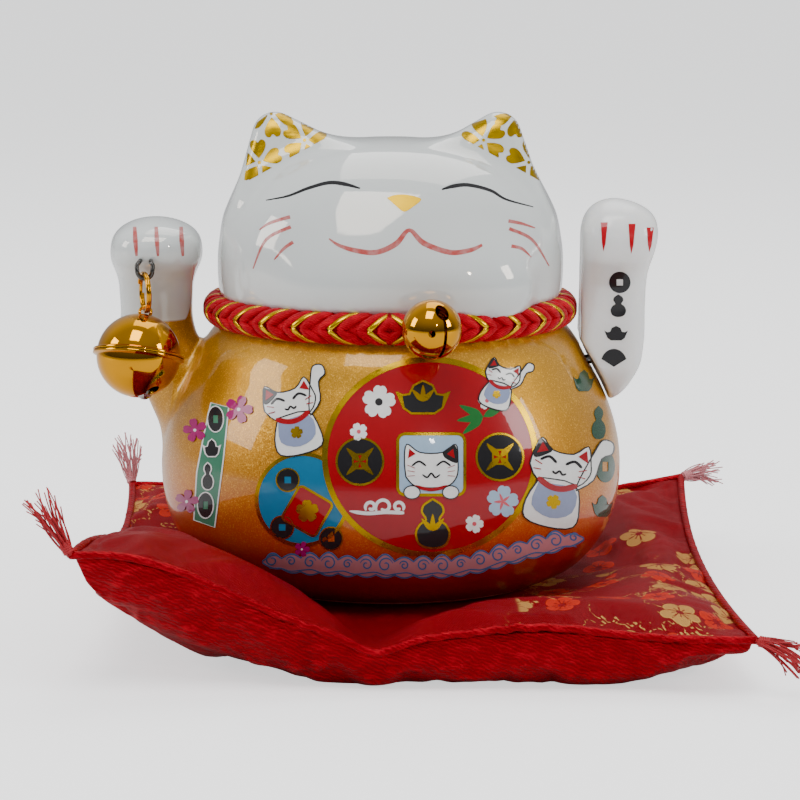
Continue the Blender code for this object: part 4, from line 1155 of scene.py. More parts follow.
def make_ornaments(cat, inks):
    """All prints on the body's front: one piece for each layer and ink, each layer a little further out."""
    layers = {}

    def lay(level, ink, *shapes):
        layers.setdefault((level, ink), []).extend(shapes)

    print_discs(lay)
    print_window_cat(lay)
    for u, w, radius, turn in (
        (-3.7, -0.6, 4.7, 12), (-9.1, -8.6, 2.5, 40), (25.4, -0.3, 2.5, 25), (22.0, -33.4, 2.6, 0),
    ):
        lay(5, "white", [blossom(u, w, radius, turn)])
        lay(6, "ink" if radius > 3 else "pink", [circle(u, w, radius * 0.22, 14)])
    lay(5, "pale_blue", [blossom(29.6, -27.4, 4.5, 10)])
    lay(6, "pink", *([leaf(29.6, -27.4, 2.4, 72 * i + 20)] for i in range(5)))
    lay(4, "green", *([leaf(24.4, -4.6, 7.2, turn)] for turn in (64, 98, 130, -62)))
    lay(5, "white", *scroll(-3.6, -29.8, 16.0))
    cloud, curls = cloud_band()
    lay(4, "cloud_pink", [cloud])
    lay(5, "cloud_blue", ring_of(cloud, 0.42), *curls)
    for u, w, size, turn in ((-26.6, -5.4, 13.6, 14), (28.6, 3.6, 9.0, -18), (44.0, -23.4, 15.8, -12)):
        print_small_cat(lay, u, w, size, turn)
    banner = [
        (-49.0, -0.8), (-44.2, -2.0), (-45.6, -15.7), (-48.0, -34.4), (-53.6, -32.4), (-52.8, -19.4),
        (-50.9, -9.5),
    ]
    lay(2, "banner_green", [banner])
    lay(3, "white", ring_of(banner, 0.35))
    for make, u, w in (
        (coin, -47.7, -5.2), (ingot, -48.7, -12.8), (gourd, -49.8, -20.8), (coin, -50.4, -28.4),
    ):
        shape = narrowed(make(u, w, 7.0), u, 0.62)
        lay(4, "ink", shape)
        lay(5, "white", ring_of(shape[0], 0.3))
    for u, w, radius, turn in (
        (-41.4, -2.6, 4.0, 0), (-53.2, -8.2, 3.4, 30), (-55.4, -27.4, 3.4, 10), (-24.4, -40.2, 2.2, 0),
    ):
        lay(6, "magenta", [blossom(u, w, radius, turn, 0.3)])
        lay(7, "white", [circle(u, w, radius * 0.12, 10)])
    for make, u, w in ((ingot, 51.6, 5.4), (gourd, 55.6, -6.4), (coin, 57.4, -18.0), (ingot, 56.6, -28.4)):
        lay(3, "dark_green", narrowed(make(u, w, 8.6), u, 0.6))
    for (level, ink), shapes in sorted(layers.items()):
        cat.lay(f"print_{level}_{ink}", shapes, inks[ink], 0.03 + 0.045 * level, cell=1.7, thick=0.07)


def make_back_ornaments(cat, inks):
    """A few blossoms and two clouds on the back, in the style of the front."""
    spots = ((-28, -6, 5.0), (24, -14, 6.0), (2, -24, 4.2), (-14, -34, 3.4), (34, -32, 3.6), (8, 2, 3.2))
    blossoms = [[blossom(u, w, radius, 17 * i)] for i, (u, w, radius) in enumerate(spots)]
    hearts = [[circle(u, w, radius * 0.24, 14)] for u, w, radius in spots]
    for name, ink, lift, shapes in (
        ("blossoms", "white", 0.10, blossoms),
        ("blossom_hearts", "gold", 0.16, hearts),
        ("clouds", "cloud_pink", 0.10, [*scroll(-20, -40, 26.0), *scroll(22, -41, 24.0)]),
    ):
        cat.lay(f"back_{name}", shapes, inks[ink], lift, cell=2.2, behind=True)


def make_arm_ornaments(arm, inks):
    """Claw wedges and a column of plain ornaments on the waving arm."""
    wedges = []
    for u, top, reach in ((57.2, 48.0, 7.9), (64.7, 47.6, 8.2), (69.6, 46.6, 6.6)):
        outline = [(-0.95, 0), (0.95, 0), (0.35, -0.72 * reach), (-0.25, -reach), (-0.6, -0.7 * reach)]
        wedges.append([moved(outline, u, top)])
    arm.lay("arm_claws", wedges, inks["crimson"], 0.06)
    column = ((coin, 61.4, 31.8), (gourd, 61.0, 25.3), (ingot, 60.4, 18.2), (fan, 59.8, 11.4))
    arm.lay("arm_ornaments", [make(u, w, 5.8) for make, u, w in column], inks["black"], 0.06)


# ---------------------------------------------------------------- collar


def collar_frame(angle):
    """Centre and outward direction of the collar at an angle; -90 degrees is the front."""
    centre = Vector((
        COLLAR_X + COLLAR_RADIUS * cos(angle),
        COLLAR_RADIUS * DEPTH_RATIO * sin(angle),
        COLLAR_Z - COLLAR_RISE * sin(angle),
    ))
    return centre, Vector((cos(angle) * DEPTH_RATIO, sin(angle), 0)).normalized()


def rope_point(side, travel, turn, radius):
    """A point on the rope and its outward direction: travel runs back from the front, turn round the rope."""
    centre, outward = collar_frame(-pi / 2 + side * travel / COLLAR_RADIUS)
    out = outward * cos(turn) + Vector((0, 0, sin(turn)))
    return centre + out * radius, out


def strap_mesh(straps, ring=10):
    """Puffed straps, each given as (centre points, outward directions, half widths, half thickness)."""
    points, faces = [], []
    for path, outs, halves, thick in straps:
        start = len(points)
        for i, (centre, out, half) in enumerate(zip(path, outs, halves)):
            along = (path[min(i + 1, len(path) - 1)] - path[max(i - 1, 0)]).normalized()
            across = along.cross(out).normalized()
            depth = thick * sqrt(half / max(halves))
            for k in range(ring):
                angle = 2 * pi * k / ring
                points.append(centre + across * half * cos(angle) + out * depth * sin(angle))
        last = start + (len(path) - 1) * ring
        for row in range(start, last, ring):
            for k in range(ring):
                a, b = row + k, row + (k + 1) % ring
                faces.append((a, b, b + ring, a + ring))
        faces.append(tuple(range(start + ring - 1, start - 1, -1)))
        faces.append(tuple(range(last, last + ring)))
    return faced_out(to_mesh(points, faces))


def make_collar(cord, foil):
    """A herringbone plait that points back from the bell: puffed red cords with foil ribbons between them."""
    pitch, lean = 4.9, 6.0
    reach = COLLAR_REACH * COLLAR_RADIUS

    def strap(side, row, number, radius, half, thick, start, end, swollen):
        """One strand, from start to end in degrees round the rope, 0 being the plait's middle line."""
        tip = min(reach, number * pitch + 2.6)
        path, outs, halves = [], [], []
        for i in range(11):
            part = i / 10
            turn = start + (end - start) * part
            place, out = rope_point(side, max(0.0, tip - lean * abs(turn) / 90), radians(row * turn), radius)
            path.append(place)
            outs.append(out)
            halves.append(half * sin(pi * (0.10 + 0.80 * part)) ** 0.55 if swollen else half)
        return path, outs, halves, thick

    cords, foils = [], []
    for side in (-1, 1):
        for k in range(int(reach / pitch) + 1):
            for row in (-1, 1):
                cords.append(strap(side, row, k, 3.25, 1.45, 1.15, 112, -8, True))
                if k % 2 == 0:
                    foils.append(strap(side, row, k + 0.5, 4.0, 0.72, 0.26, 100, 1, False))
    piece("collar_plait", strap_mesh(cords), "figurine", "cord", cord, "collar_cord")
    piece("collar_foil_ribbons", strap_mesh(foils, 8), "figurine", "cord", foil)
    core = [collar_frame(-pi / 2 + COLLAR_REACH * (i / 60 * 2 - 1))[0] for i in range(61)]
    piece("collar_core", tube_mesh([core], 3.1, 4), "figurine", "cord", cord)
    wraps = []
    for i in range(17):
        centre, outward = collar_frame(pi / 2 + radians(-10.4 + 1.3 * i))
        angles = [2 * pi * k / 20 for k in range(20)]
        wraps.append([centre + outward * 3.9 * cos(a) + Vector((0, 0, 3.9 * sin(a))) for a in angles])
    barrel = [collar_frame(pi / 2 + radians(-10.8 + 1.8 * i))[0] for i in range(13)]
    sleeve = joined(tube_mesh(wraps, 0.62, 2, cyclic=True), tube_mesh([barrel], 3.75, 4))
    piece("collar_sleeve_winding", sleeve, "figurine", "cord_sleeve", cord, "collar_sleeve")


# ---------------------------------------------------------------- bells and wires


def bell_profile(radius, wall, lowest, rows, rim=()):
    """The section of a bell shell from its top down to an angle, with the points of its rim."""
    angles = [pi / 2 + (lowest - pi / 2) * i / rows for i in range(rows + 1)]
    outer = [(radius * cos(a), radius * sin(a)) for a in angles]
    inner = [((radius - wall) * cos(a), (radius - wall) * sin(a)) for a in angles]
    outer[0], inner[0] = (0.0, radius), (0.0, radius - wall)
    return [*outer, *rim, *inner[::-1]]


def block(low, high):
    shape = bmesh.new()
    bmesh.ops.create_cube(shape, size=1.0)
    low, high = Vector(low) * MM, Vector(high) * MM
    for vertex in shape.verts:
        vertex.co = Vector(((low[i] + high[i]) / 2 + vertex.co[i] * (high[i] - low[i]) for i in range(3)))
    return baked(shape)


def rod(start, end, radius, segments=32):
    start, end = Vector(start) * MM, Vector(end) * MM
    shape = bmesh.new()
    size = {"radius1": radius * MM, "radius2": radius * MM, "depth": (end - start).length}
    bmesh.ops.create_cone(shape, cap_ends=True, segments=segments, **size)
    turn = (end - start).to_track_quat("Z", "Y").to_matrix().to_4x4()
    bmesh.ops.transform(shape, matrix=Matrix.Translation((start + end) / 2) @ turn, verts=shape.verts)
    return baked(shape)


def cut_by(obj, cutters, place):
    """Cuts the cutters, moved to their place, out of a piece."""
    for mesh in cutters:
        mesh.transform(place)
        cutter = place_object("cutter", mesh)
        modifier = obj.modifiers.new("slot", "BOOLEAN")
        modifier.object = cutter
        modifier.solver = "EXACT"
        old, new = obj.data, evaluated_mesh(obj)
        obj.modifiers.remove(modifier)
        obj.data = new
        bpy.data.meshes.remove(old)
        bpy.data.objects.remove(cutter, do_unlink=True)


def keep_edges(obj, degrees):
    obj.data.shade_smooth()
    obj.data.set_sharp_from_angle(angle=radians(degrees))


def make_neck_bell(gold, steel):
    """A ball bell that faces the viewer with its slot and hole, on a wire round the collar."""
    centre = node_middle("neck_bell_shell")[0] + Vector((0, 0, 0.7))
    to_centre = Matrix.Translation(centre * MM)
    radius, wall = 7.7, 0.6
    mesh = turned_mesh(bell_profile(radius, wall, -pi / 2 + 0.12, 48))
    mesh.transform(to_centre @ Matrix.Rotation(radians(-90), 4, "X"))
    bell = piece("neck_bell_ball", mesh, "neck_bell", "gold_plate", gold, "neck_bell_shell")
    cutters = [block((-0.42, -10, -9.5), (0.42, -1.0, 4.8)), rod((0, -10, 5.0), (0, -2, 5.0), 1.75)]
    cut_by(bell, cutters, to_centre @ Matrix.Rotation(radians(27), 4, "Z"))
    keep_edges(bell, 40)
    middle, half_height = node_middle("neck_bell_loop")
    reach = half_height - 0.45
    ring = [middle + Vector((0, reach * cos(a), reach * sin(a))) for a in np.linspace(0, 2 * pi, 49)[:-1]]
    mesh = tube_mesh([ring], 0.45, 4, cyclic=True)
    piece("neck_bell_wire", mesh, "neck_bell", "steel", steel, "neck_bell_loop")


def make_eyelet(wire):
    """The bent wire in the raised paw, its curl under the split ring."""
    hinge = joint_at("split_ring_swing")
    start = Vector((node_middle("paw_eyelet")[0].x, hinge.y, hinge.z))
    left = [(-1.3, 8.0, 4.3), (-1.5, 1.6, 4.3), (-2.1, 0.4, 3.4)]
    curl = [(2.0 * cos(a), 0.0, 2.0 + 2.0 * sin(a)) for a in np.linspace(pi, 2 * pi, 17)]
    right = [(-x, y, z) for x, y, z in reversed(left)]
    path = [start + Vector(point) for point in smoothed(left + curl + right, 3)]
    wire_radius = 0.6
    piece("eyelet_wire", tube_mesh([path], wire_radius, 4), "figurine", "steel", wire, "paw_eyelet")


def make_split_ring(gold):
    centre, half_height = node_middle("split_ring")
    reach, turns = half_height - 0.5, 1.92
    yaw = Matrix.Rotation(radians(17), 3, "Z")
    coil = []
    for i in range(120):
        part = i / 119
        angle = radians(20) + 2 * pi * turns * part
        point = Vector(((part - 0.5) * 0.95 - 0.05, reach * cos(angle), reach * sin(angle)))
        coil.append(centre + yaw @ point)
    piece("split_ring_coil", tube_mesh([coil], 0.46, 4), "split_ring", "gold_plate", gold, "split_ring")


def make_paw_bell(gold):
    """Two half shells that meet in a seam band, the lower one slotted, on a loop in the split ring."""
    tilt = Matrix.Rotation(radians(-18.0), 4, "X") @ Matrix.Rotation(radians(6.0), 4, "Y")
    settle = Matrix.Translation(joint_at("paw_bell_swing") * MM) @ tilt
    drop, loop_radius = -0.2, 1.5
    angles = np.linspace(0, 2 * pi, 41)[:-1]
    loop = [Vector((loop_radius * cos(a), 0, drop + loop_radius * sin(a))) for a in angles]
    stem = rod((0, 0, drop - 1.9), (0, 0, drop - 1.2), 0.9, 24)
    mesh = joined(tube_mesh([loop], 0.42, 4, cyclic=True), stem)
    mesh.transform(settle)
    piece("bell_loop", mesh, "paw_bell", "gold_plate", gold, "paw_bell_loop")
    radius, rim_radius, wall = 11.2, 12.2, 0.6
    to_centre = Matrix.Translation(Vector((-0.4, 0, drop - 0.6 - radius)) * MM)
    rim = [
        (radius + 0.25, 0.95), (rim_radius - 0.35, 0.80), (rim_radius - 0.05, 0.62), (rim_radius, 0.40),
        (rim_radius - 0.1, 0.12), (rim_radius - 0.4, 0.03), (radius - wall, 0.03),
    ]
    profile = bell_profile(radius, wall, 0.10, 30, rim)
    for half, sign in (("upper", 1), ("lower", -1)):
        mesh = turned_mesh([(r, sign * h) for r, h in profile], 96)
        mesh.transform(to_centre)
        bell = piece(f"bell_{half}", mesh, "paw_bell", "gold_plate", gold, f"paw_bell_{half}_shell")
        if half == "lower":
            cutters = [block((-6.0, -0.75, -14), (6.0, 0.75, -4.5))]
            cutters += [rod((s * 6.0, 0, -14), (s * 6.0, 0, -4), 1.6) for s in (-1, 1)]
            cut_by(bell, cutters, to_centre @ Matrix.Rotation(radians(-32), 4, "Z"))
        bell.data.transform(settle)
        keep_edges(bell, 38)


# ---------------------------------------------------------------- cushion

# s and t run from -1 to 1 over the cushion, s to the cat's left and t to its back.
CUSHION_MID = node_middle("cushion_top_cover")[0]
CUSHION_MID.z = 0.0
CUSHION_HALF = 83.0
SIDE_PULL_IN = 4.0
SEAM_Z = 13.5
CURL = 22.5
LIFT = {(1, -1): 1.0, (1, 1): 8.0}
GRID = 80


def smooth_step(part):
    part = min(1.0, max(0.0, part))
    return part * part * (3 - 2 * part)


def hump(part, middle, width):
    return 2.718 ** (-(((part - middle) / width) ** 2))


def side_curl(s, t):
    """How far the cushion curls up on the cat's right, most at its front corner."""
    return CURL * smooth_step((-0.08 - s) / 0.85) * (0.25 + 0.75 * smooth_step((0.35 - t) / 1.35))


def corner_rise(s, t):
    """The seam's rise above its usual height: curl, lifted corners, dip and swell of the front edge."""
    rise = side_curl(s, t)
    for (sx, sy), lift in LIFT.items():
        rise += lift * (max(0.0, (s * sx + 1) / 2) * max(0.0, (t * sy + 1) / 2)) ** 4
    return rise + smooth_step((-t - 0.55) / 0.45) * (3.2 * hump(s, 0.38, 0.26) - 3.4 * hump(s, -0.09, 0.09))


def cushion_plan(s, t, inset):
    half = CUSHION_HALF - inset
    x = s * half - SIDE_PULL_IN * (1 - t * t) * abs(s) ** 3 * (1 if s > 0 else -1)
    y = t * half - SIDE_PULL_IN * (1 - s * s) * abs(t) ** 3 * (1 if t > 0 else -1)
    return CUSHION_MID.x + x + 1.6 * max(0.0, s) * (1 - t), CUSHION_MID.y + y


def cushion_top_height(x, y, s, t):
    out = hypot(x, y)
    pressed = FOOT - 0.35
    edge = max(abs(s), abs(t))
    pad = 2.6 * sin(pi * min(1.0, max(0.0, (edge - 0.56) / 0.44)) ** 1.3) * smooth_step((out - 60) / 20)
    risen = SEAM_Z + corner_rise(s, t) + pad
    return pressed + (risen - pressed) * smooth_step((out - 46) / 32)


def cushion_bottom_height(s, t):
    edge = max(abs(s), abs(t))
    rise = 1 - sqrt(max(0.0, 1 - max(0.0, (edge - 0.84) / 0.16) ** 2))
    seam = SEAM_Z - 1.0 + corner_rise(s, t)
    right_corner = 4.5 * smooth_step((s - 0.45) / 0.5) * smooth_step((-t - 0.5) / 0.5)
    lifted = (0.78 * side_curl(s, t) + right_corner) * smooth_step((edge - 0.45) / 0.4)
    pinch = sqrt(max(0.0, 1 - abs(s * t) ** 5))
    return seam - pinch * (1 - rise) * (seam - lifted)


def cushion_mesh():
    """One closed pillow of two grids that share the seam. Returns its points, faces, seam and index."""
    points, faces, index = [], [], {}

    def closer_at_edge(i):
        part = 2 * i / GRID - 1
        return sin(pi / 2 * part) * 0.25 + part * 0.75

    def corner(i, j, upper):
        on_seam = i in (0, GRID) or j in (0, GRID)
        key = (i, j, upper or on_seam)
        if key not in index:
            s, t = closer_at_edge(i), closer_at_edge(j)
            x, y = cushion_plan(s, t, 0.6)
            if on_seam:
                z = SEAM_Z + corner_rise(s, t) - 0.4
            elif upper:
                z = cushion_top_height(x, y, s, t)
            else:
                z = cushion_bottom_height(s, t)
                bulge = smooth_step((max(abs(s), abs(t)) - 0.8) / 0.15)
                x, y = x + (x - CUSHION_MID.x) * 0.012 * bulge, y + (y - CUSHION_MID.y) * 0.012 * bulge
            index[key] = len(points)
            points.append(Vector((x, y, z)))
        return index[key]

    for upper in (True, False):
        for i in range(GRID):
            for j in range(GRID):
                quad = [corner(i + a, j + b, upper) for a, b in ((0, 0), (1, 0), (1, 1), (0, 1))]
                faces.append(quad if upper else quad[::-1])
    steps = range(GRID)
    seam = [corner(i, 0, True) for i in steps] + [corner(GRID, j, True) for j in steps]
    seam += [corner(GRID - i, GRID, True) for i in steps] + [corner(0, GRID - j, True) for j in steps]
    return points, faces, seam, index


def puff(points, faces, seam):
    """Lets the cover swell and wrinkle as cloth, the foot pressing it down. Returns the new points."""
    pressed_radius, near_radius, cap = 43, 62, 3.2
    pillow = place_object("pillow", to_mesh(points, faces))
    held = pillow.vertex_groups.new(name="held")
    resting = [i for i, p in enumerate(points) if hypot(p.x, p.y) < pressed_radius or p.z < 0.05]
    held.add(list({*resting, *seam}), 1.0, "REPLACE")
    cloth = pillow.modifiers.new("cloth", "CLOTH")
    for key, value in {
        "quality": 6, "mass": 0.12, "tension_stiffness": 12, "compression_stiffness": 8, "shear_stiffness": 4,
        "bending_stiffness": 0.04, "use_pressure": True, "uniform_pressure_force": 4.0, "shrink_min": -0.035,
        "vertex_group_mass": "held",
    }.items():
        setattr(cloth.settings, key, value)
    cloth.settings.effector_weights.gravity = 0.0
    cloth.collision_settings.use_collision = False
    cloth.collision_settings.use_self_collision = False
    scene = bpy.context.scene
    for step in range(1, 21):
        scene.frame_set(step)
    evaluated = pillow.evaluated_get(bpy.context.evaluated_depsgraph_get())
    swollen = [vertex.co / MM for vertex in evaluated.data.vertices]
    scene.frame_set(1)
    bpy.data.objects.remove(pillow, do_unlink=True)
    result = []
    for before, after in zip(points, swollen):
        shift = after - before
        if shift.length > cap:
            shift = shift.normalized() * cap
        point = before + shift
        out = hypot(point.x, point.y)
        if out < near_radius and before.z > 6:
            point.z = min(point.z, FOOT - 0.3 + max(0.0, out - 44) * 0.16)
        point.z = max(point.z, 0.0)
        result.append(point)
    return result


def gather(points):
    """Small folds that run in from the seam, strongest on the side below it."""
    deep, shallow = 2.4, 0.9
    source = random.Random(7)
    spans = ((4.0, 11.0), (0, 2 * pi), (0.35, 1.0))  # pitch, phase and share of each wave
    waves = [[source.uniform(*span) for span in spans] for _ in range(7)]
    result = []
    for point in points:
        flat = Vector((point.x, point.y, 0)) - CUSHION_MID
        edge = max(abs(flat.x), abs(flat.y)) / CUSHION_HALF
        if edge < 0.55:
            result.append(point)
            continue
        travel = point.x if abs(flat.y) > abs(flat.x) else point.y
        fold = sum(share * sin(2 * pi * travel / pitch + phase) for pitch, phase, share in waves) / len(waves)
        near = smooth_step((edge - 0.66) / 0.26)
        if point.z < SEAM_Z + corner_rise(flat.x / CUSHION_HALF, flat.y / CUSHION_HALF) - 2.0:
            result.append(point + flat.normalized() * fold * (deep * near))
        else:
            rise = fold * (shallow * near) * (1 - smooth_step((edge - 0.93) / 0.07))
            result.append(point + Vector((0, 0, rise)))
    return result


def make_wadding(points, faces, index, finish):
    """The filling: the cover's own shape drawn in by the cover's thickness, and short of the seam."""
    cover_thickness = 1.5
    cover = to_mesh(points, faces)
    inner = {}
    for key, number in index.items():
        inner[key] = points[number] - cover.vertices[number].normal * cover_thickness
    bpy.data.meshes.remove(cover)
    filled = list(points)
    for (i, j, upper), number in index.items():
        row, column = min(max(i, 3), GRID - 3), min(max(j, 3), GRID - 3)
        filled[number] = inner[row, column, upper]
        if i in (0, GRID) or j in (0, GRID):
            filled[number] = (inner[row, column, True] + inner[row, column, False]) / 2
    piece("cushion_wadding", to_mesh(filled, faces), "cushion", "wadding", finish, "cushion_filling")


def make_cushion(brocade, satin, finish):
    """Filling, top and bottom covers and piping. Returns the seam's corner points."""
    points, faces, seam, index = cushion_mesh()
    points = puff(points, faces, seam)
    points = gather(points)
    make_wadding(points, faces, index, finish)
    for name, chosen, surface, node_name, slot in (
        ("cushion_top_panel", faces[:GRID * GRID], brocade, "cushion_top_cover", "brocade"),
        ("cushion_side_and_base", faces[GRID * GRID:], satin, "cushion_bottom_cover", "satin"),
    ):
        used = sorted({i for face in chosen for i in face})
        number = {old: new for new, old in enumerate(used)}
        mesh = to_mesh([points[i] for i in used], [[number[i] for i in face] for face in chosen])
        obj = piece(name, mesh, "cushion", slot, surface, node_name)
        solidify = obj.modifiers.new("cloth", "SOLIDIFY")
        solidify.thickness = 0.5 * MM
        solidify.offset = -1.0
        subdivide = obj.modifiers.new("smooth", "SUBSURF")
        subdivide.levels = 1
        subdivide.render_levels = 1
    ring = [points[i] for i in seam]
    rim = []
    for point in ring:
        outward = (Vector((point.x, point.y, 0)) - CUSHION_MID).normalized()
        rim.append(point + outward * 0.5 + Vector((0, 0, 0.5)))
    piece("cushion_piping", tube_mesh([rim], 1.05, 4, cyclic=True), "cushion", "satin", satin)
    ways = {corner: Vector((*corner, 0)) for corner in ((-1, -1), (1, -1), (1, 1), (-1, 1))}
    return {corner: max(ring, key=lambda p: (p - CUSHION_MID).dot(way)) for corner, way in ways.items()}


def make_tassels(corners, silk, paler_silk):
    """Loose silk threads that leave each corner through a bound neck."""
    source = random.Random(21)
    for corner, name, direction, length, fan_out, droop, finish in (
        ((-1, -1), "front_right", (-0.50, 0.20, 0.85), 18.0, 4.0, 0.0, silk),
        ((1, -1), "front_left", (0.92, -0.25, -0.12), 14.0, 4.6, 0.5, silk),
        # The rear tassels are given a paler, pinker silk than the front ones.
        ((1, 1), "rear_left", (0.85, 0.45, 0.10), 14.0, 3.6, 0.2, paler_silk),
        ((-1, 1), "rear_right", (-0.15, 0.50, 0.80), 16.0, 4.4, 0.0, paler_silk),
    ):
        start = corners[corner] + Vector((*corner, 0)).normalized() * 0.6 + Vector((0, 0, 0.4))
        aim = Vector(direction).normalized()
        across = aim.orthogonal().normalized()
        other = aim.cross(across)
        threads = []
        for i in range(48):
            angle = 2 * pi * (i % 6) / 6 + source.uniform(-0.3, 0.3)
            reach = 0.75 * sqrt(source.random()) + 0.2
            side = across * cos(angle) + other * sin(angle)
            size = length * source.uniform(0.55, 1.0)
            curl = Vector([source.uniform(-1, 1) for _ in range(3)]) * 1.1
            path = []
            for part in (k / 8 for k in range(9)):
                point = start + aim * size * part + side * reach * fan_out * part**1.7 + curl * sin(pi * part)
                path.append(point + Vector((0, 0, -droop)) * 6.0 * part**2 + side * 0.8)
            threads.append(path)
        neck = []
        around = [across * cos(a) + other * sin(a) for a in np.linspace(0, 2 * pi, 13)[:-1]]
        for turn in range(5):
            centre = start + aim * (1.0 + 0.55 * turn)
            neck.append([centre + way * 1.15 for way in around])
        mesh = joined(tube_mesh(threads, 0.16, 1), tube_mesh(neck, 0.34, 2, cyclic=True))
        piece(f"tassel_threads_{name}", mesh, "cushion", "thread", finish, f"tassel_{name}")


# ---------------------------------------------------------------- inside parts and the studio

CAD_FINISHES = {
    "steel": (
        "battery_contact_plate", "battery_contact_spring", "switch_housing", "board_screw_1", "board_screw_2",
        "swing_shaft", "counterweight", "neck_bell_pellet", "paw_bell_pellet",
    ),
    "white_plastic": ("movement_base", "coil_bobbin", "pendulum_lever", "battery_cover"),
    "black_plastic": ("switch_knob",),
    "cell_wrap": ("battery_cell",),
    "board": ("circuit_board",),
    "copper": ("drive_coil",),
    "bronze": ("shaft_bearing_inner", "shaft_bearing_outer"),
    "nickel": ("pendulum_magnet",),
}


def dress_cad_nodes(surfaces):
    """Gives the movement and the other carried-over nodes their finishes."""
    for finish, names in CAD_FINISHES.items():
        for name in names:
            mesh = frame["nodes"][name].data
            if not mesh.materials:
                mesh.materials.append(surfaces[finish])
            for i in range(len(mesh.materials)):
                mesh.materials[i] = surfaces[finish]


def make_studio():
    """Pale floor, even sky, softboxes and the camera."""
    reach = 12000.0
    corners = [(-reach, -reach, 0), (reach, -reach, 0), (reach, reach, 0), (-reach, reach, 0)]
    mesh = to_mesh(corners, [(0, 1, 2, 3)])
    floor = place_object("floor", mesh)
    floor.location = (0, 0, -0.0002)
    paper = Look("pale floor")
    mesh.materials.append(paper.surfaced({
        "Base Color": (0.85, 0.85, 0.85),
        "Roughness": 0.8,
        "Emission Color": (1.0, 1.0, 1.0),
        "Emission Strength": node(paper.tree, "LightPath", {}, "Is Camera Ray"),
    }))

    world = bpy.data.worlds.new("studio")
    bpy.context.scene.world = world
    world.use_nodes = True
    _, behind, upward = node(world.node_tree, "TexCoord", {}, "Generated").parts()
    strength = upward.step(-0.05, 0.85).scaled(0.42, behind.step(-0.1, 0.5).scaled(0.35, 0.10))
    sky = world.node_tree.nodes["Background"].inputs
    feed(sky["Strength"], strength)
    feed(sky["Color"], (0.96, 0.98, 1.0))
    for name, place, size, power in (
        ("left softbox", (-1.05, -0.20, 0.55), 0.40, 5.0),
        ("right softbox", (1.00, -0.35, 0.50), 0.30, 4.6),
        ("high front softbox", (-0.15, -0.55, 1.25), 0.55, 8.5),
        ("top softbox", (0.1, 0.45, 1.0), 0.6, 3.5),
        ("small lamp", (0.42, -1.15, 0.62), 0.05, 1.0),
    ):
        light = bpy.data.lights.new(name, "AREA")
        light.shape = "RECTANGLE"
        light.size = size
        light.size_y = size * 1.3
        light.energy = power
        lamp = place_object(name, light)
        lamp.location = place
        lamp.rotation_euler = (Vector((0, 0, 0.07)) - Vector(place)).to_track_quat("-Z", "Y").to_euler()
    camera = bpy.data.cameras.new("camera")
    camera.lens = CAMERA_LENS
    camera.clip_start = 0.01
    view = place_object("camera", camera)
    view.location = CAMERA * MM
    view.rotation_euler = (radians(90 - CAMERA_PITCH), 0, 0)
    bpy.context.scene.camera = view


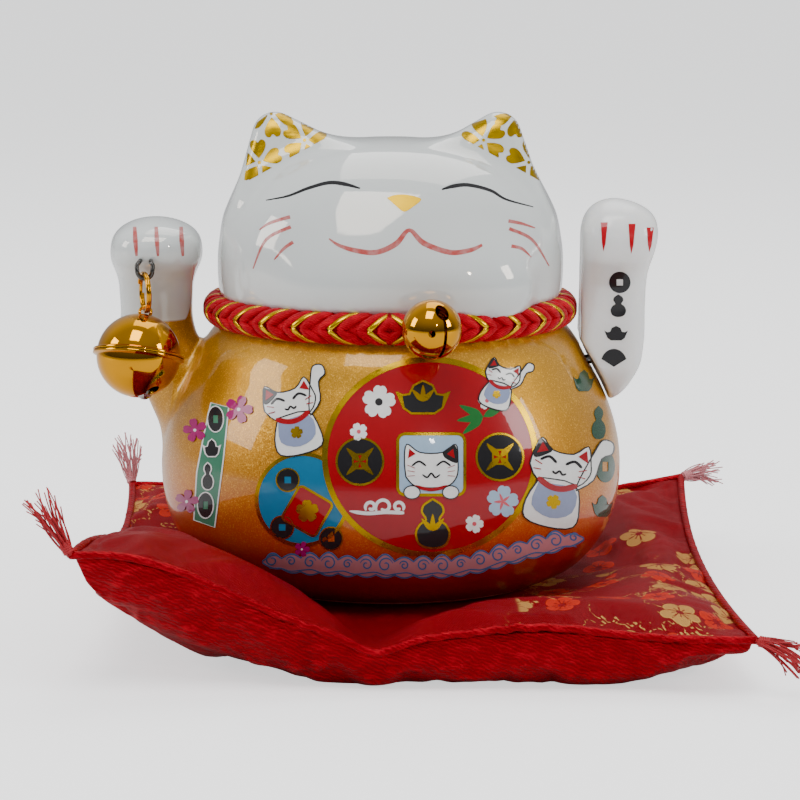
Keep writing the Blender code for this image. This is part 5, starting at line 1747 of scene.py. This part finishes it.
def main():
    inks = {key: paint_material(name, *look) for key, name, *look in (
        ("black", "black brush paint", (0.015, 0.014, 0.016)),
        ("ink", "black print", (0.02, 0.018, 0.02)),
        ("faded_red", "faded red brush paint", (0.50, 0.075, 0.065), 0.4, (0.62, 0.45, 0.44)),
        ("crimson", "crimson paint", (0.50, 0.0, 0.010)),
        ("red", "red print", (0.36, 0.0, 0.006)),
        ("blue", "blue print", (0.010, 0.17, 0.33)),
        ("pale_blue", "pale blue print", (0.36, 0.50, 0.66)),
        ("bib_blue", "bib blue print", (0.26, 0.31, 0.48)),
        ("white", "white print", (0.84, 0.84, 0.82)),
        ("pink", "pink print", (0.66, 0.10, 0.13)),
        ("magenta", "magenta print", (0.36, 0.0, 0.13)),
        ("green", "leaf green print", (0.015, 0.16, 0.03)),
        ("banner_green", "banner green print", (0.06, 0.22, 0.13)),
        ("dark_green", "dark green print", (0.012, 0.06, 0.03)),
        ("cloud_pink", "cloud pink print", (0.52, 0.22, 0.25)),
        ("cloud_blue", "cloud blue print", (0.07, 0.15, 0.34)),
    )}
    inks["gold"] = foil_material("gold foil", (0.39, 0.235, 0.001), 0.20)
    inks["leaf"] = foil_material("gold leaf", (0.56, 0.34, 0.002), 0.34)
    steel = mottled("steel", (0.42, 0.41, 0.40), 0.26, metallic=1.0, scale=0.5)
    surfaces = {
        "steel": steel,
        "white_plastic": mottled("white moulded plastic", (0.80, 0.80, 0.78), 0.42, deep=0.1),
        "black_plastic": mottled("black moulded plastic", (0.025, 0.025, 0.027), 0.42),
        "board": mottled("circuit board", (0.04, 0.20, 0.08), 0.35, coat=0.4, vary=0.3),
        "copper": mottled("copper wire", (0.72, 0.30, 0.14), 0.28, metallic=1.0, scale=2.0, relief=0.05),
        "bronze": mottled("bearing bronze", (0.60, 0.40, 0.19), 0.36, metallic=1.0, scale=2.0),
        "cell_wrap": mottled("cell wrap", (0.09, 0.15, 0.30), 0.28, coat=0.3),
        "nickel": mottled("nickel plate", (0.62, 0.61, 0.59), 0.18, metallic=1.0),
    }
    mesh = field_mesh(cat_field, (-80, -61, FOOT - 3), (66, 61, FOOT + 131), 1.1)
    glazed = piece("ceramic_cat", mesh, "figurine", "glaze", glaze_material(), "ceramic_body")
    cat = Ground(glazed, "figurine", "glaze", 1.6)
    make_face(cat, inks)
    make_ears(cat, inks)
    make_ornaments(cat, inks)
    make_back_ornaments(cat, inks)

    milky = mottled("milky plastic", (0.88, 0.875, 0.86), 0.24, coat=0.35, vary=0.03, deep=0.35, relief=0.004)
    make_arm_ornaments(Ground(make_waving_arm(milky), "waving_arm", "milk_plastic", 1.2), inks)
    cord = cloth_material("braided red cord", (0.42, 0.000, 0.012), (0.30, 0.000, 0.007), 0.55, 0.05, 0.0)
    make_collar(cord, foil_material("foil cord", (0.62, 0.37, 0.005), 0.18))
    plate = mottled(
        "polished gold plate", (0.62, 0.27, 0.003), 0.07, metallic=1.0, scale=0.25, vary=0.05, relief=0.003
    )
    make_neck_bell(plate, steel)
    make_eyelet(mottled("dark wire", (0.09, 0.085, 0.08), 0.25, metallic=1.0, scale=0.5))
    make_split_ring(plate)
    make_paw_bell(plate)

    satin = cloth_material("red satin", (0.30, 0.000, 0.009), (0.16, 0.000, 0.005), 1.0, 0.8, 0.45)
    wadding = mottled("wadding", (0.84, 0.83, 0.80), 0.95, sheen=0.4, relief=0.4)
    corners = make_cushion(brocade_material(), satin, wadding)
    silk = mottled("silk thread", (0.40, 0.001, 0.008), 0.5, relief=0.02)
    make_tassels(corners, silk, mottled("paler silk thread", (0.55, 0.20, 0.22), 0.6, relief=0.02, vary=0.3))
    dress_cad_nodes(surfaces)
    make_studio()


main()
